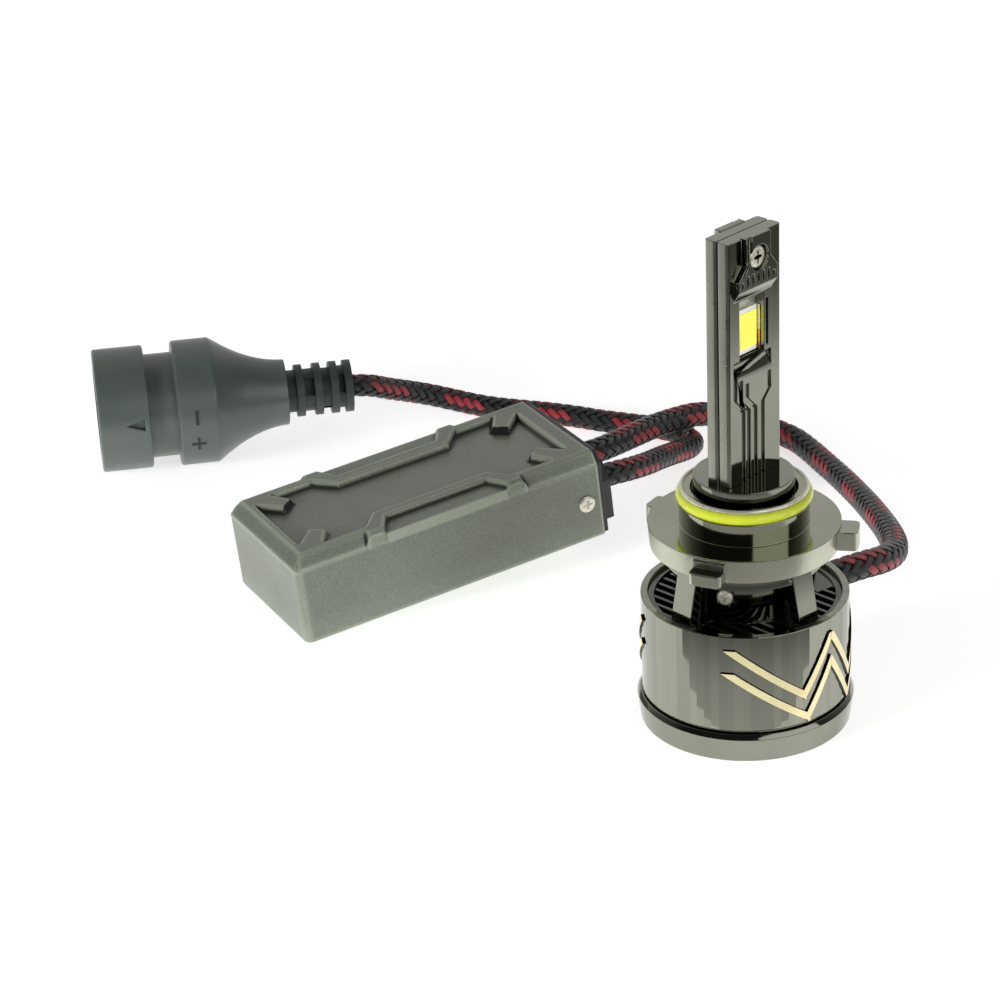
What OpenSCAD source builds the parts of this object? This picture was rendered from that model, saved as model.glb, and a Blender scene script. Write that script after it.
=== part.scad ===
// LED headlight bulb with its driver box and round supply plug.
// The lamp stands on its fan ring at the origin, with its axis along +Z and the
// two lighting faces towards -Y and +Y. All sizes are in millimetres.

/* [Column] */
// Width of the lamp column
column_w = 13.3; // [11:0.1:15]
// Thickness of the column, over both flat faces
column_t = 5.0; // [4.4:0.1:6.4]
// Height of the column's top above the ground
column_top = 88; // [80:0.5:104]
// How far the head block stands out of each flat face
head_relief = 1.1; // [0.8:0.1:1.4]
// Thickness of the copper core plate
core_t = 1.0; // [0.6:0.1:1.4]
// Height of the middle of the light source
led_z = 71; // [68:0.1:74]
// Width of the phosphor
led_w = 4.0; // [3:0.1:4.4]
// Height of the phosphor
led_h = 6.2; // [4.5:0.1:7]

/* [Cap] */
// Radius of the neck that locates the lamp
neck_r = 10.95; // [10.6:0.05:13.2]
// Radius of the flange
flange_r = 16.25; // [15:0.05:17]
// Height of the flange's seating face above the ground
flange_top = 36.6; // [35:0.1:38]
// Thickness of the flange
flange_t = 4.2; // [3:0.1:5]
// Radius of the seal ring's section
seal_r = 1.0; // [0.8:0.05:1.1]
// Radius of the stem that the collar turns on
stem_r = 8.0; // [7.4:0.05:8.3]

/* [Fan housing] */
// Outer radius of the fan housing
housing_r = 17.65; // [17:0.05:21.2]
// Wall of the fan housing
housing_wall = 1.2; // [0.8:0.1:1.6]
// Height of the housing's rim above the ground
housing_top = 23.35; // [23:0.05:25]
// Height of the base ring
base_h = 5.2; // [4:0.1:6]
// Number of vertical facets round the housing
facets = 84; // [48:2:96]
// Number of fan blades
blades = 9; // [5:1:11]
// Number of heat sink fins
fins = 24; // [12:2:30]

/* [Driver box] */
// Length of the driver box
driver_l = 62.4; // [58:0.2:75]
// Width of the driver box
driver_w = 29.6; // [28:0.2:36]
// Height of the driver box
driver_h = 17.5; // [16:0.1:21]
// Wall of the driver box
driver_wall = 1.5; // [1:0.1:2]

/* [Plug] */
// Radius of the plug's body
plug_r = 12.65; // [11.5:0.05:15]
// Radius of the plug's front ring
plug_ring_r = 12.4; // [11.3:0.05:12.6]
// Length of the plug's front ring
plug_ring_l = 10.2; // [8:0.1:12]
// Wall of the plug's socket, at the waist behind its front ring
plug_wall = 1.3; // [1:0.1:1.8]

/* [Cables] */
// Diameter of the braided lamp cable
lamp_cable_d = 5.0; // [4:0.1:5.2]
// Diameter of the braided plug cable
plug_cable_d = 4.6; // [4:0.1:4.8]

/* [Hidden] */
$fn = 96;
EPS = 0.01;

// clearances
run_gap = 0.05;                       // radial gap of a turning fit
slip_gap = 0.05;                      // gap between a piece and the seat it slides into

// column
seam_gap = 0.05;                      // half the gap between the two column shells
seam_bevel = 0.4;                     // bevel along the seam and the outer corners
column_bottom = 45.2;
core_w = 8.4;
core_top = 79.6;
core_bottom = 38.5;
board_w = led_w + 0.2;
board_h = led_h + 1.6;
board_t = 0.5;
chip_t = 0.2;
window_left = -3.8;
window_right = 2.3;
window_low = led_z - 4.1;
window_high = led_z + 6.3;
ramp_low = window_low - 3.6;
head_z = 84.2 + (column_top - 88);    // height of the clamping screw
screw_r = 1.0;
screw_head_r = 1.9;
screw_head_t = 1.2;
face_y = column_t / 2;
head_y = face_y + head_relief;
groove_w = 0.8;
groove_depth = 0.55;

// stem and cap
base_disc_r = 8.5;
base_disc_t = 1.7;
stem_top = column_bottom - base_disc_t;
spigot_r = 6.2;
spigot_l = 3.0;
stem_plate_r = 13.4;
stem_plate_low = 29.6;
stem_plate_high = 31.6;
core_drum_r = 10.0;
deck_top = 22.2;
deck_t = 1.2;
pillar_count = 4;
pillar_w = 4.4;
pillar_t = 1.9;
pillar_turn = -95;
stem_screw_turn = -159;
stem_screw_z = 26.6;
post_r = 5.5;
flange_low = flange_top - flange_t;
flange_taper = 0.35;
collar_top = flange_top + 6.5;
seal_z = flange_top + 4.9;
seal_seat_r = neck_r - 1.45;
seal_mid_r = seal_seat_r + seal_r;
lip_r = neck_r - 0.1;
lip_bore_r = 10.1;
collar_bore_top = flange_top + 2.4;
collar_well_r = 9.0;
tab_turns = [-161, -57, 102];
tab_widths = [5.6, 5.0, 4.6];
tab_reach = [2.5, 3.0, 1.7];
grub_turn = 30;
grub_r = 1.0;

// housing and fan
inner_r = housing_r - housing_wall;
base_gap = 0.5;                       // dark line between the base ring and the housing
housing_low = base_h + base_gap;
base_r = housing_r + 0.85;            // the base ring flares upwards to this radius
base_foot_r = housing_r + 0.4;
spigot_wall = 1.0;
base_spigot_h = 3.0;
guard_low = 1.0;
guard_t = 1.0;
guard_seat = 0.7;
cable_turn = -11;                     // where the cable leaves the housing
cable_z = 19.6;
cable_hole_r = lamp_cable_d / 2 + 0.6;
sink_low = 14.2;
sink_top = 20.9;
fin_t = 0.6;
frame_low = guard_low + guard_t + 0.2;
frame_t = 1.0;
frame_ring_w = 1.0;
hub_r = 7.0;
hub_wall = 0.8;
hub_low = 5.0;
hub_high = 12.2;
blade_tip_r = inner_r - spigot_wall - 0.8;
blade_t = 0.8;
blade_lean = 35;
shaft_r = 0.75;
bearing_r = 1.7;
bearing_low = frame_low + frame_t;
bearing_high = 10.4;
tube_wall = 0.7;
magnet_t = 0.6;
magnet_low = 5.4;
magnet_high = 9.6;
stator_r = hub_r - hub_wall - magnet_t - 0.4;
stator_low = 5.4;
stator_high = 9.2;
board_low = frame_low + frame_t;
fan_board_t = 0.8;

// raised gold bands, in two matching halves: [turn, height] of each band's corners
upper_band = [[-149, 21.3], [-107, 11.1], [-87, 20.6], [-65, 10.4], [-35.5, 20.3]];
lower_band = [[-152, 17.5], [-105, 6.7], [-87, 15.6], [-67, 6.2], [-35.5, 15.9]];
upper_cut = 20.9;                     // both ends of a band are cut level at this height
lower_cut = 16.6;
stripe_w = 1.2;
stripe_depth = 0.35;
stripe_proud = 0.35;                  // the bands stand out of the wall as low ribs

// driver box, in its own frame: x along it, y across it, z up
driver_origin = [-33, 75.2, 0];
driver_tip = 5.3;                     // the stiff leads hold the cable end up by this angle
driver_yaw = -17.9;
side_h = driver_h - 2.5;
top_bevel = 1.8;
end_bevel = 2.3;
corner_r = 1.4;
panel_depth = 0.6;
pocket_depth = 1.3;
pocket_low = 20.5;
pocket_high = driver_l - 17.4;
pocket_out = 1.3;
pocket_in = 4.6;
cap_t = 1.0;
cap_block_t = 2.9;
cap_plug_l = 3.0;
exit_z = 7.2;
lamp_exit_y = 18.5;
plug_exit_y = 8.5;
driver_screw_x = driver_l - 3.1;
driver_screw_z = 7.7;
driver_screw_r = 1.65;
pcb_z = 4.6;
pcb_t = 1.2;

// plug, in its own frame: x from its mouth to its cable
plug_origin = [-7.85, 163.25, plug_r];
plug_yaw = -36.5;
plug_neck_r = 10.45;
plug_neck_end = plug_ring_l + 5.6;
plug_body_end = plug_neck_end + 8.2;
plug_end = 38.3;
plug_end_r = 6.65;
plug_bore_r = plug_neck_r - plug_wall;
plug_bore_l = 13.0;
relief_end = 51.7;
relief_r = 4.3;
relief_rib_r = 5.3;
relief_bore_r = plug_cable_d / 2 + 0.12;
pin_w = 2.8;
pin_t = 0.8;
pin_gap = 6.4;
pin_l = 6.6;

// cable routes, from the housing or the driver box outwards
lamp_route = [
    [13.4, -2.6, 19.6], [20, -3.9, 19.6], [25.5, -4.7, 19.2], [31.5, -4.5, 17.9], [38, -2.2, 15.9],
    [43.4, 1.6, 14.4], [49, 7, 12.8], [55.2, 13.8, 10.9], [62, 21.8, 8.8], [69, 30.6, 6.6],
    [75.5, 39.5, 4.7], [81, 48, 3.3], [84.8, 54.5, 2.6], [87, 60, 2.5], [87.2, 65.4, 2.8],
    [86.2, 69.8, 3.6], [83.6, 73.2, 4.8], [79.8, 75.3, 6.2], [74.8, 76.2, 7.6], [69.2, 76.4, 8.5],
    [63, 75.9, 9.5], [56.5, 74.6, 10.6], [49.3, 73.1, 11.8], [42.5, 71.9, 12.9], [37, 72.1, 13.4],
    [31.6, 73.8, 13]
];
plug_route = [
    [28.6, 64.2, 13], [33.9, 62.5, 13.4], [40, 62.2, 12.5], [46.5, 63.7, 10.8], [53.3, 66.2, 8.8],
    [60, 68.8, 6.6], [64.4, 70.3, 5.2], [68.6, 71.9, 4], [71.9, 74.1, 3.1], [74, 77.3, 2.6],
    [74.8, 81, 2.4], [74.1, 84.8, 2.4], [72.7, 88.4, 2.4], [71.2, 92, 2.4], [69.4, 96.4, 2.4],
    [67.6, 101.8, 2.4], [65.3, 107.5, 2.4], [62.6, 113, 2.4], [60.2, 118.2, 2.4], [58, 122.6, 2.8],
    [55, 126, 4], [51.3, 128.4, 5.6], [46.8, 129.8, 7.5], [42, 130.3, 9.6], [37.6, 130.9, 11.6],
    [33.7, 132.6, 12.5], [29.5, 135.6, 12.65]
];
route_steps = 2;
cable_sides = 10;

// ---------------------------------------------------------------- helpers

// A band of even width w across, along a list of [x, z] points.
function band(pts, w) = concat(
    [for (p = pts) [p[0] - w / 2, p[1]]],
    [for (i = [len(pts) - 1 : -1 : 0]) [pts[i][0] + w / 2, pts[i][1]]]
);

// A smooth curve through the points (Catmull-Rom), with n steps a span.
function at(pts, i) = pts[max(0, min(len(pts) - 1, i))];
function spline_point(a, b, c, d, t) = 0.5 * (
    2 * b + (c - a) * t + (2 * a - 5 * b + 4 * c - d) * t * t + (3 * b - a - 3 * c + d) * t * t * t
);
function smooth_route(pts, n) = concat(
    [for (i = [0 : len(pts) - 2]) for (k = [0 : n - 1])
        spline_point(at(pts, i - 1), pts[i], pts[i + 1], at(pts, i + 2), k / n)],
    [pts[len(pts) - 1]]
);
function unit(v) = v / norm(v);
function run_dir(pts, i) = unit(at(pts, i + 1) - at(pts, i - 1));

// A tube of radius r along the points, as one closed polyhedron.
module tube(pts, r, sides) {
    n = len(pts);
    rings = [for (i = [0 : n - 1])
        let (t = run_dir(pts, i), side = unit(cross(t, [0, 0, 1])), up = cross(side, t))
        for (k = [0 : sides - 1])
            pts[i] + r * (cos(360 * k / sides) * side + sin(360 * k / sides) * up)];
    walls = [for (i = [0 : n - 2]) for (k = [0 : sides - 1])
        let (k2 = (k + 1) % sides)
        each [[i * sides + k, i * sides + k2, (i + 1) * sides + k2],
            [i * sides + k, (i + 1) * sides + k2, (i + 1) * sides + k]]];
    ends = [[for (k = [sides - 1 : -1 : 0]) k], [for (k = [0 : sides - 1]) (n - 1) * sides + k]];
    polyhedron(points = rings, faces = concat(walls, ends), convexity = 8);
}

// An outline of [x, z] points, extruded along Y from y0 to y1.
module slab_xz(pts, y0, y1) {
    translate([0, y1, 0])
        rotate([90, 0, 0])
            linear_extrude(y1 - y0) polygon(pts);
}

// A box from one corner to the other.
module block(low, high) {
    translate(low) cube(high - low);
}

// A ring from r0 to r1 and from z0 to z1.
module ring(r0, r1, z0, z1) {
    translate([0, 0, z0])
        rotate_extrude()
            translate([r0, 0]) square([r1 - r0, z1 - z0]);
}

// A screw pointing along -X from its head's seat at the origin.
module screw(head_r, head_t, thread_r, length) {
    difference() {
        rotate([0, 90, 0]) {
            cylinder(h = head_t, r = head_r);
            translate([0, 0, -length]) cylinder(h = length + EPS, r = thread_r);
        }
        for (a = [0, 90])
            rotate([a, 0, 0])
                block([head_t - 0.5, -head_r * 0.62, -head_r * 0.15], [head_t + 1, head_r * 0.62, head_r * 0.15]);
    }
}

// Puts its children at a turn round the lamp's axis, at radius r and height z.
module around(turn, r, z) {
    rotate([0, 0, turn]) translate([r, 0, z]) children();
}

// ---------------------------------------------------------------- column

// The plan of one column shell, on the -Y side of the seam.
module shell_plan() {
    w = column_w / 2;
    b = seam_bevel;
    polygon([
        [-w, -seam_gap - b], [-w + b, -seam_gap], [w - b, -seam_gap], [w, -seam_gap - b],
        [w, -face_y + b], [w - b, -face_y], [-w + b, -face_y], [-w, -face_y + b]
    ]);
}

// The head block: its outline in X and Z, cut by its side profile in Y and Z.
module head_block() {
    z = column_top - 88;
    half = column_w / 2;
    intersection() {
        slab_xz([
            [-3.3, 88.2 + z], [-3.3, 83.4 + z], [-half + 1.4, 81.3 + z], [-half + 1.4, window_high],
            [half - 2.6, window_high], [half - 2.1, 80 + z], [half - 2.1, 81.8 + z], [2.8, 84 + z], [2.8, 88.2 + z]
        ], -head_y, -face_y + 0.3);
        rotate([90, 0, 90])
            translate([0, 0, -column_w / 2])
                linear_extrude(column_w) polygon([
                    [-face_y + 0.3, 88.2 + z], [-head_y, 88.2 + z], [-head_y, window_high + 2.1],
                    [-face_y + 0.3, window_high - 0.1]
                ]);
    }
}

// The fine upright grooves in the head block, under and beside the screw.
module head_grooves() {
    z = column_top - 88;
    depth = 0.5;
    for (x = [-2.75, -2.1])
        block([x - 0.17, -head_y - 1, 84.1 + z], [x + 0.17, -head_y + depth, 89 + z]);
    for (i = [0 : 6])
        block([-4.5 + 1.3 * i, -head_y - 1, window_high + 2.6], [-4.05 + 1.3 * i, -head_y + depth,
            (i == 0 || i == 6 ? 81 : 81.8) + z]);
    for (x = [-4.6, -3.8])
        slab_xz(band([[x, 82.2 + z], [x + 1.3, 83.8 + z]], 0.4), -head_y - 1, -head_y + depth);
}

// The runs of the four cooling channels, as [x, z] points from top to bottom.
channel_runs = [
    [[-4.95, ramp_low + 2.0], [-4.95, 60], [-2.95, 57.8], [-2.95, column_bottom - 1]],
    [[-3.45, ramp_low + 0.2], [-3.45, 59.5], [-1.6, 57.7], [-1.6, column_bottom - 1]],
    [[-1.95, ramp_low - 0.8], [-1.95, 59.8], [0.1, 57.7], [0.1, column_bottom - 1]],
    [[3.65, ramp_low - 0.2], [3.65, 60], [1.95, 58.2], [1.95, column_bottom - 1]]
];

// One shell of the column, with its face towards -Y.
module column_shell() {
    difference() {
        union() {
            translate([0, 0, column_bottom])
                linear_extrude(column_top - column_bottom) shell_plan();
            head_block();
        }
        head_grooves();
        // window over the light source, a long slot beside it and the ramp under it
        block([window_left, -head_y - 1, window_low], [window_right, EPS, window_high]);
        block([2.85, -face_y - 1, window_low + 1], [3.3, -face_y + 0.9, window_high - 1.2]);
        rotate([90, 0, 90])
            translate([0, 0, window_left - 1.6])
                linear_extrude(window_right - window_left + 3.4) polygon([
                    [-face_y - 0.6, ramp_low - 0.9], [-core_t / 2 - 1.0, window_low], [-core_t / 2 - 1.0, window_low + 0.1],
                    [-face_y - 0.6, window_low + 0.1]
                ]);
        for (run = channel_runs)
            slab_xz(band(run, groove_w), -face_y - 1, -face_y + groove_depth);
        // pocket for half the core plate
        block([-core_w / 2 - slip_gap, -core_t / 2 - slip_gap, column_bottom - 1],
            [core_w / 2 + slip_gap, 1, core_top + slip_gap]);
        // clamping screw
        translate([0, 1, head_z]) rotate([90, 0, 0]) cylinder(h = 2 * head_y + 2, r = screw_r + slip_gap);
        translate([0, -head_y + screw_head_t + 0.4, head_z])
            rotate([90, 0, 0]) cylinder(h = 3, r = screw_head_r + 0.3);
    }
}

module column_front() {
    color("dimgray") column_shell();
}

module column_rear() {
    color("gray") rotate([0, 0, 180]) column_shell();
}

// Clamping screw from the front, with its nut head at the back.
module column_screw() {
    seat = head_y - screw_head_t - 0.4;
    color("silver") translate([0, 0, head_z]) {
        rotate([0, 0, -90]) translate([seat, 0, 0]) screw(screw_head_r, screw_head_t, screw_r, 2 * seat);
        rotate([0, 0, 90]) translate([seat, 0, 0]) screw(screw_head_r, screw_head_t, screw_r, 1);
    }
}

// Copper plate that carries the light sources and takes their heat down.
module copper_core() {
    color("peru") difference() {
        union() {
            block([-core_w / 2, -core_t / 2, core_bottom], [core_w / 2, core_t / 2, core_top]);
            for (turn = [0, 180])
                rotate([0, 0, turn])
                    block([board_w / 2, -face_y + 0.75, window_low + 0.4], [window_right - 0.06, -core_t / 4, led_z + 4]);
        }
        translate([0, column_t, head_z])
            rotate([90, 0, 0]) cylinder(h = 2 * column_t, r = screw_r + 0.3);
    }
}

// White ceramic board under one light source, towards -Y.
module led_board() {
    block([-board_w / 2, -core_t / 2 - board_t, led_z - board_h / 2], [board_w / 2, -core_t / 2, led_z + board_h / 2]);
}

module led_board_front() {
    color("white") led_board();
}

module led_board_rear() {
    color("white") rotate([0, 0, 180]) led_board();
}

// Phosphor of one light source, towards -Y.
module led_chip() {
    y = -core_t / 2 - board_t;
    block([-led_w / 2, y - chip_t, led_z - led_h / 2], [led_w / 2, y, led_z + led_h / 2]);
}

module led_chip_front() {
    color("yellow") led_chip();
}

module led_chip_rear() {
    color("yellow") rotate([0, 0, 180]) led_chip();
}

// Round foot of the column, pressed into the stem.
module column_base() {
    color("dimgray") difference() {
        union() {
            translate([0, 0, stem_top]) cylinder(h = base_disc_t, r = base_disc_r);
            translate([0, 0, stem_top - spigot_l]) cylinder(h = spigot_l + EPS, r = spigot_r - slip_gap);
        }
        block([-core_w / 2 - slip_gap, -core_t / 2 - slip_gap, stem_top - spigot_l - 1],
            [core_w / 2 + slip_gap, core_t / 2 + slip_gap, column_bottom + 1]);
    }
}

// ---------------------------------------------------------------- stem and cap

// Stem: tube for the collar, plate, drum and four slanting pillars.
module heat_stem() {
    color("dimgray") difference() {
        union() {
            translate([0, 0, deck_top]) cylinder(h = stem_top - deck_top, r = stem_r);
            translate([0, 0, deck_top]) cylinder(h = stem_plate_low - deck_top + 0.5, r = core_drum_r);
            translate([0, 0, stem_plate_low])
                cylinder(h = stem_plate_high - stem_plate_low, r = stem_plate_r);
            translate([0, 0, stem_plate_low]) cylinder(h = flange_low - 0.02 - stem_plate_low, r = core_drum_r);
            for (i = [0 : pillar_count - 1])
                rotate([0, 0, pillar_turn + i * 360 / pillar_count])
                    slab_xz([
                        [stem_plate_r - pillar_t - 0.2, stem_plate_high - 0.2], [stem_plate_r - 0.1, stem_plate_high - 0.2],
                        [stem_plate_r + 1.8, deck_top], [stem_plate_r + 1.8 - pillar_t, deck_top]
                    ], -pillar_w / 2, pillar_w / 2);
        }
        // seat of the column's foot, slot for the core and bore for the sink's post
        translate([0, 0, stem_top - spigot_l]) cylinder(h = spigot_l + 1, r = spigot_r);
        block([-core_w / 2 - slip_gap, -core_t / 2 - slip_gap, core_bottom - 0.3],
            [core_w / 2 + slip_gap, core_t / 2 + slip_gap, stem_top]);
        translate([0, 0, deck_top - 1]) cylinder(h = stem_plate_low - deck_top, r = post_r + slip_gap);
        around(stem_screw_turn, 0, stem_screw_z)
            rotate([0, 90, 0]) cylinder(h = core_drum_r + 1, r = 0.75 + slip_gap);
        around(stem_screw_turn, core_drum_r - 0.6, stem_screw_z)
            rotate([0, 90, 0]) cylinder(h = 4, r = 1.5);
    }
}

// Screw that holds the heat sink's post in the stem.
module stem_screw() {
    color("silver")
        around(stem_screw_turn, core_drum_r - 0.6, stem_screw_z)
            screw(1.35, 0.9, 0.75, core_drum_r - 0.6 - 3.6);
}

// The two short supply wires that climb from the deck to the plate.
module stem_wires() {
    color("black")
        for (turn = [-186, -190])
            around(turn, core_drum_r + 0.9, deck_top) cylinder(h = stem_plate_low - deck_top, r = 0.55);
}

// Mounting collar: flange with three tabs, neck, groove for the seal and lip.
module mounting_collar() {
    tab_low = flange_low + 0.2;
    color("gray") difference() {
        union() {
            rotate_extrude() polygon([
                [stem_r + run_gap, flange_low], [flange_r - flange_taper, flange_low], [flange_r, flange_top],
                [neck_r, flange_top], [neck_r, seal_z - seal_r], [seal_seat_r, seal_z - seal_r],
                [seal_seat_r, seal_z + seal_r], [lip_r, seal_z + seal_r], [lip_r, collar_top - 0.2],
                [lip_r - 0.2, collar_top], [lip_bore_r + 0.1, collar_top], [lip_bore_r, collar_top - 0.35],
                [collar_well_r, collar_top - 0.35], [collar_well_r, collar_bore_top], [stem_r + run_gap, collar_bore_top]
            ]);
            for (i = [0 : len(tab_turns) - 1])
                rotate([0, 0, tab_turns[i]])
                    intersection() {
                        block([flange_r - 2, -tab_widths[i] / 2, tab_low],
                            [flange_r + 5, tab_widths[i] / 2, flange_top - 0.6]);
                        translate([0, 0, tab_low]) cylinder(h = flange_t, r = flange_r + tab_reach[i]);
                    }
        }
        around(grub_turn, stem_r, flange_low + flange_t / 2)
            rotate([0, 90, 0]) cylinder(h = flange_r, r = grub_r + slip_gap);
        // step in the front tab
        rotate([0, 0, tab_turns[0]])
            block([flange_r + 0.1, -5, flange_top - 1.9], [flange_r + 5, 5, flange_top + 1]);
    }
}

module seal_ring() {
    color("yellowgreen")
        translate([0, 0, seal_z])
            rotate_extrude() translate([seal_mid_r, 0]) circle(r = seal_r, $fn = 48);
}

// Grub screw that locks the collar on the stem.
module collar_grub_screw() {
    length = 5;
    color("silver")
        around(grub_turn, stem_r + run_gap + 0.05, flange_low + flange_t / 2)
            difference() {
                rotate([0, 90, 0]) cylinder(h = length, r = grub_r);
                translate([length - 0.9, 0, 0]) rotate([0, 90, 0]) cylinder(h = 2, r = 0.5, $fn = 6);
            }
}

// ---------------------------------------------------------------- housing and fan

// Slatted deck between the stem and the housing, solid where the cable enters.
module top_grille() {
    low = deck_top - deck_t;
    rim_r = inner_r - slip_gap;
    slat_r = rim_r - 1.1;
    color("darkslategray") {
        difference() {
            union() {
                ring(core_drum_r - 2, core_drum_r + 0.4, low, deck_top);
                ring(slat_r, rim_r, low, deck_top + 0.4);
                intersection() {
                    ring(core_drum_r, slat_r + 0.2, low, deck_top);
                    union() {
                        for (x = [-14 : 2 : 14])
                            block([x - 0.35, -rim_r, low], [x + 0.35, rim_r, deck_top]);
                        rotate([0, 0, cable_turn]) block([core_drum_r, -7, low], [rim_r, 7, deck_top]);
                        for (i = [0 : pillar_count - 1])
                            rotate([0, 0, pillar_turn + i * 360 / pillar_count])
                                block([core_drum_r, -pillar_w / 2 - 0.5, low], [rim_r, pillar_w / 2 + 0.5, deck_top]);
                    }
                }
            }
            around(cable_turn, inner_r + 1, cable_z)
                rotate([0, -90, 0]) cylinder(h = 9, r = lamp_cable_d / 2 + 0.15);
        }
    }
}

// Finned heat sink over the fan, with the post that the stem slides on.
module heat_sink() {
    color("slategray") difference() {
        union() {
            translate([0, 0, sink_low]) cylinder(h = stem_plate_low - 1.6 - sink_low, r = post_r);
            intersection() {
                ring(post_r - 1, inner_r - slip_gap, sink_low, sink_top);
                for (i = [0 : fins - 1])
                    rotate([0, 0, 360 * (i + 0.5) / fins])
                        block([post_r - 1, -fin_t / 2, sink_low], [inner_r, fin_t / 2, sink_top]);
            }
        }
        // room for the cable's end, and the stem screw's thread
        around(cable_turn, inner_r - 5.4, cable_z)
            rotate([0, 90, 0]) cylinder(h = 9, r = cable_hole_r + 0.2);
        around(stem_screw_turn, 3, stem_screw_z)
            rotate([0, 90, 0]) cylinder(h = 9, r = 0.75 + slip_gap);
    }
}

// The offset of corner i of a band, so that both its legs keep an even width.
function leg(pts, i) = unit([(pts[i + 1][0] - pts[i][0]) * PI / 180 * housing_r, pts[i + 1][1] - pts[i][1]]);
function corner_shift(pts, i, half) =
    let (a = leg(pts, max(0, i - 1)), b = leg(pts, min(len(pts) - 2, i)), mid = unit(a + b))
    half / (mid * a) * [-mid[1] * 180 / PI / housing_r, mid[0]];

// One zigzag band as prisms that cross the housing's wall.
module stripe(pts, half) {
    for (i = [0 : len(pts) - 2]) {
        mid = (pts[i][0] + pts[i + 1][0]) / 2;
        a = corner_shift(pts, i, half);
        b = corner_shift(pts, i + 1, half);
        corners = [pts[i] - a, pts[i + 1] - b, pts[i + 1] + b, pts[i] + a];
        rotate([0, 0, mid + 90])
            slab_xz([for (c = corners) [housing_r * tan(c[0] - mid), c[1]]], -housing_r - 2, -housing_r + 2.6);
    }
}

// All four bands between radii r0 and r1.
module stripes(r0, r1, gap) {
    for (turn = [0, 180])
        rotate([0, 0, turn]) {
            intersection() {
                ring(r0, r1, housing_low + gap, upper_cut - gap);
                stripe(upper_band, stripe_w / 2 - gap);
            }
            intersection() {
                ring(r0, r1, housing_low + gap, lower_cut - gap);
                stripe(lower_band, stripe_w / 2 - gap);
            }
        }
}

// Upper housing: a faceted cup with grooves that hold the gold bands.
module fan_housing() {
    color("darkslategray") difference() {
        translate([0, 0, housing_low])
            linear_extrude(housing_top - housing_low)
                polygon([for (i = [0 : facets - 1]) housing_r * [cos(360 * i / facets), sin(360 * i / facets)]]);
        translate([0, 0, housing_low - 1]) cylinder(h = housing_top, r = inner_r);
        stripes(housing_r - stripe_depth, housing_r + 1, 0);
        around(cable_turn, inner_r - 2, cable_z) rotate([0, 90, 0]) cylinder(h = 9, r = cable_hole_r);
    }
}

module gold_inlay() {
    color("khaki") stripes(housing_r - stripe_depth, housing_r + stripe_proud, 0.02);
}

// Rubber grommet in the housing's wall.
module housing_grommet() {
    color("black") intersection() {
        around(cable_turn, inner_r, cable_z)
            rotate([0, 90, 0]) difference() {
                cylinder(h = 3, r = cable_hole_r - 0.02);
                translate([0, 0, -1]) cylinder(h = 6, r = lamp_cable_d / 2 + 0.05);
            }
        translate([0, 0, housing_low]) cylinder(h = housing_top, r = base_r - 0.05);
    }
}

// Base ring that the lamp stands on, with the spigot that centres the housing.
module base_ring() {
    bore = inner_r - slip_gap - spigot_wall;
    color("dimgray") rotate_extrude() polygon([
        [bore, guard_low + guard_t], [bore + guard_seat, guard_low + guard_t], [bore + guard_seat, 0],
        [base_foot_r - 0.3, 0], [base_foot_r, 0.3], [base_r, base_h - 0.8], [base_r - 0.6, base_h],
        [housing_r - 0.5, base_h], [housing_r - 0.5, housing_low], [inner_r - slip_gap, housing_low],
        [inner_r - slip_gap, base_h + base_spigot_h], [bore, base_h + base_spigot_h]
    ]);
}

// Round guard under the fan.
module bottom_guard() {
    rim = inner_r - slip_gap - spigot_wall + guard_seat - slip_gap;
    color("black") difference() {
        union() {
            ring(rim - 1.2, rim, guard_low, guard_low + guard_t);
            for (r = [6.4, 9.2, 12])
                ring(r, r + 0.8, guard_low, guard_low + guard_t);
            translate([0, 0, guard_low]) cylinder(h = guard_t, r = 4.4);
            for (i = [0 : 5])
                rotate([0, 0, 60 * i + 20])
                    block([3, -0.45, guard_low + 0.1], [rim - 0.5, 0.45, guard_low + guard_t - 0.1]);
        }
    }
}

// Fan frame: ring, three arms and the tube that holds the bearing.
module fan_frame() {
    out_r = inner_r - slip_gap - spigot_wall - slip_gap;
    color("black") difference() {
        union() {
            ring(out_r - frame_ring_w, out_r, frame_low, frame_low + frame_t);
            translate([0, 0, frame_low]) cylinder(h = frame_t, r = hub_r - 0.6);
            for (i = [0 : 2])
                rotate([0, 0, 120 * i + 20])
                    block([4, -1, frame_low + 0.1], [out_r - 0.4, 1, frame_low + frame_t - 0.1]);
            translate([0, 0, frame_low])
                cylinder(h = bearing_high - frame_low, r = bearing_r + tube_wall);
        }
        translate([0, 0, bearing_low]) cylinder(h = bearing_high, r = bearing_r);
        translate([0, 0, frame_low + 0.4]) cylinder(h = bearing_high, r = shaft_r + 0.4);
    }
}

// Wound stator on the bearing tube.
module fan_stator() {
    bore = bearing_r + tube_wall;
    color("sienna") difference() {
        union() {
            ring(bore, bore + 0.9, stator_low, stator_high);
            for (i = [0 : 3])
                rotate([0, 0, 90 * i + 45]) {
                    block([bore + 0.2, -0.8, stator_low + 0.6], [stator_r - 0.3, 0.8, stator_high - 0.6]);
                    block([bore + 0.9, -1.3, stator_low + 0.1], [stator_r - 1.0, 1.3, stator_high - 0.1]);
                }
            intersection() {
                ring(stator_r - 0.8, stator_r, stator_low + 0.5, stator_high - 0.5);
                for (i = [0 : 3])
                    rotate([0, 0, 90 * i + 45]) block([bore, -2.6, stator_low], [stator_r + 1, 2.6, stator_high]);
            }
        }
        translate([0, 0, stator_low - 1]) cylinder(h = stator_high, r = bore + EPS);
    }
}

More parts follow.
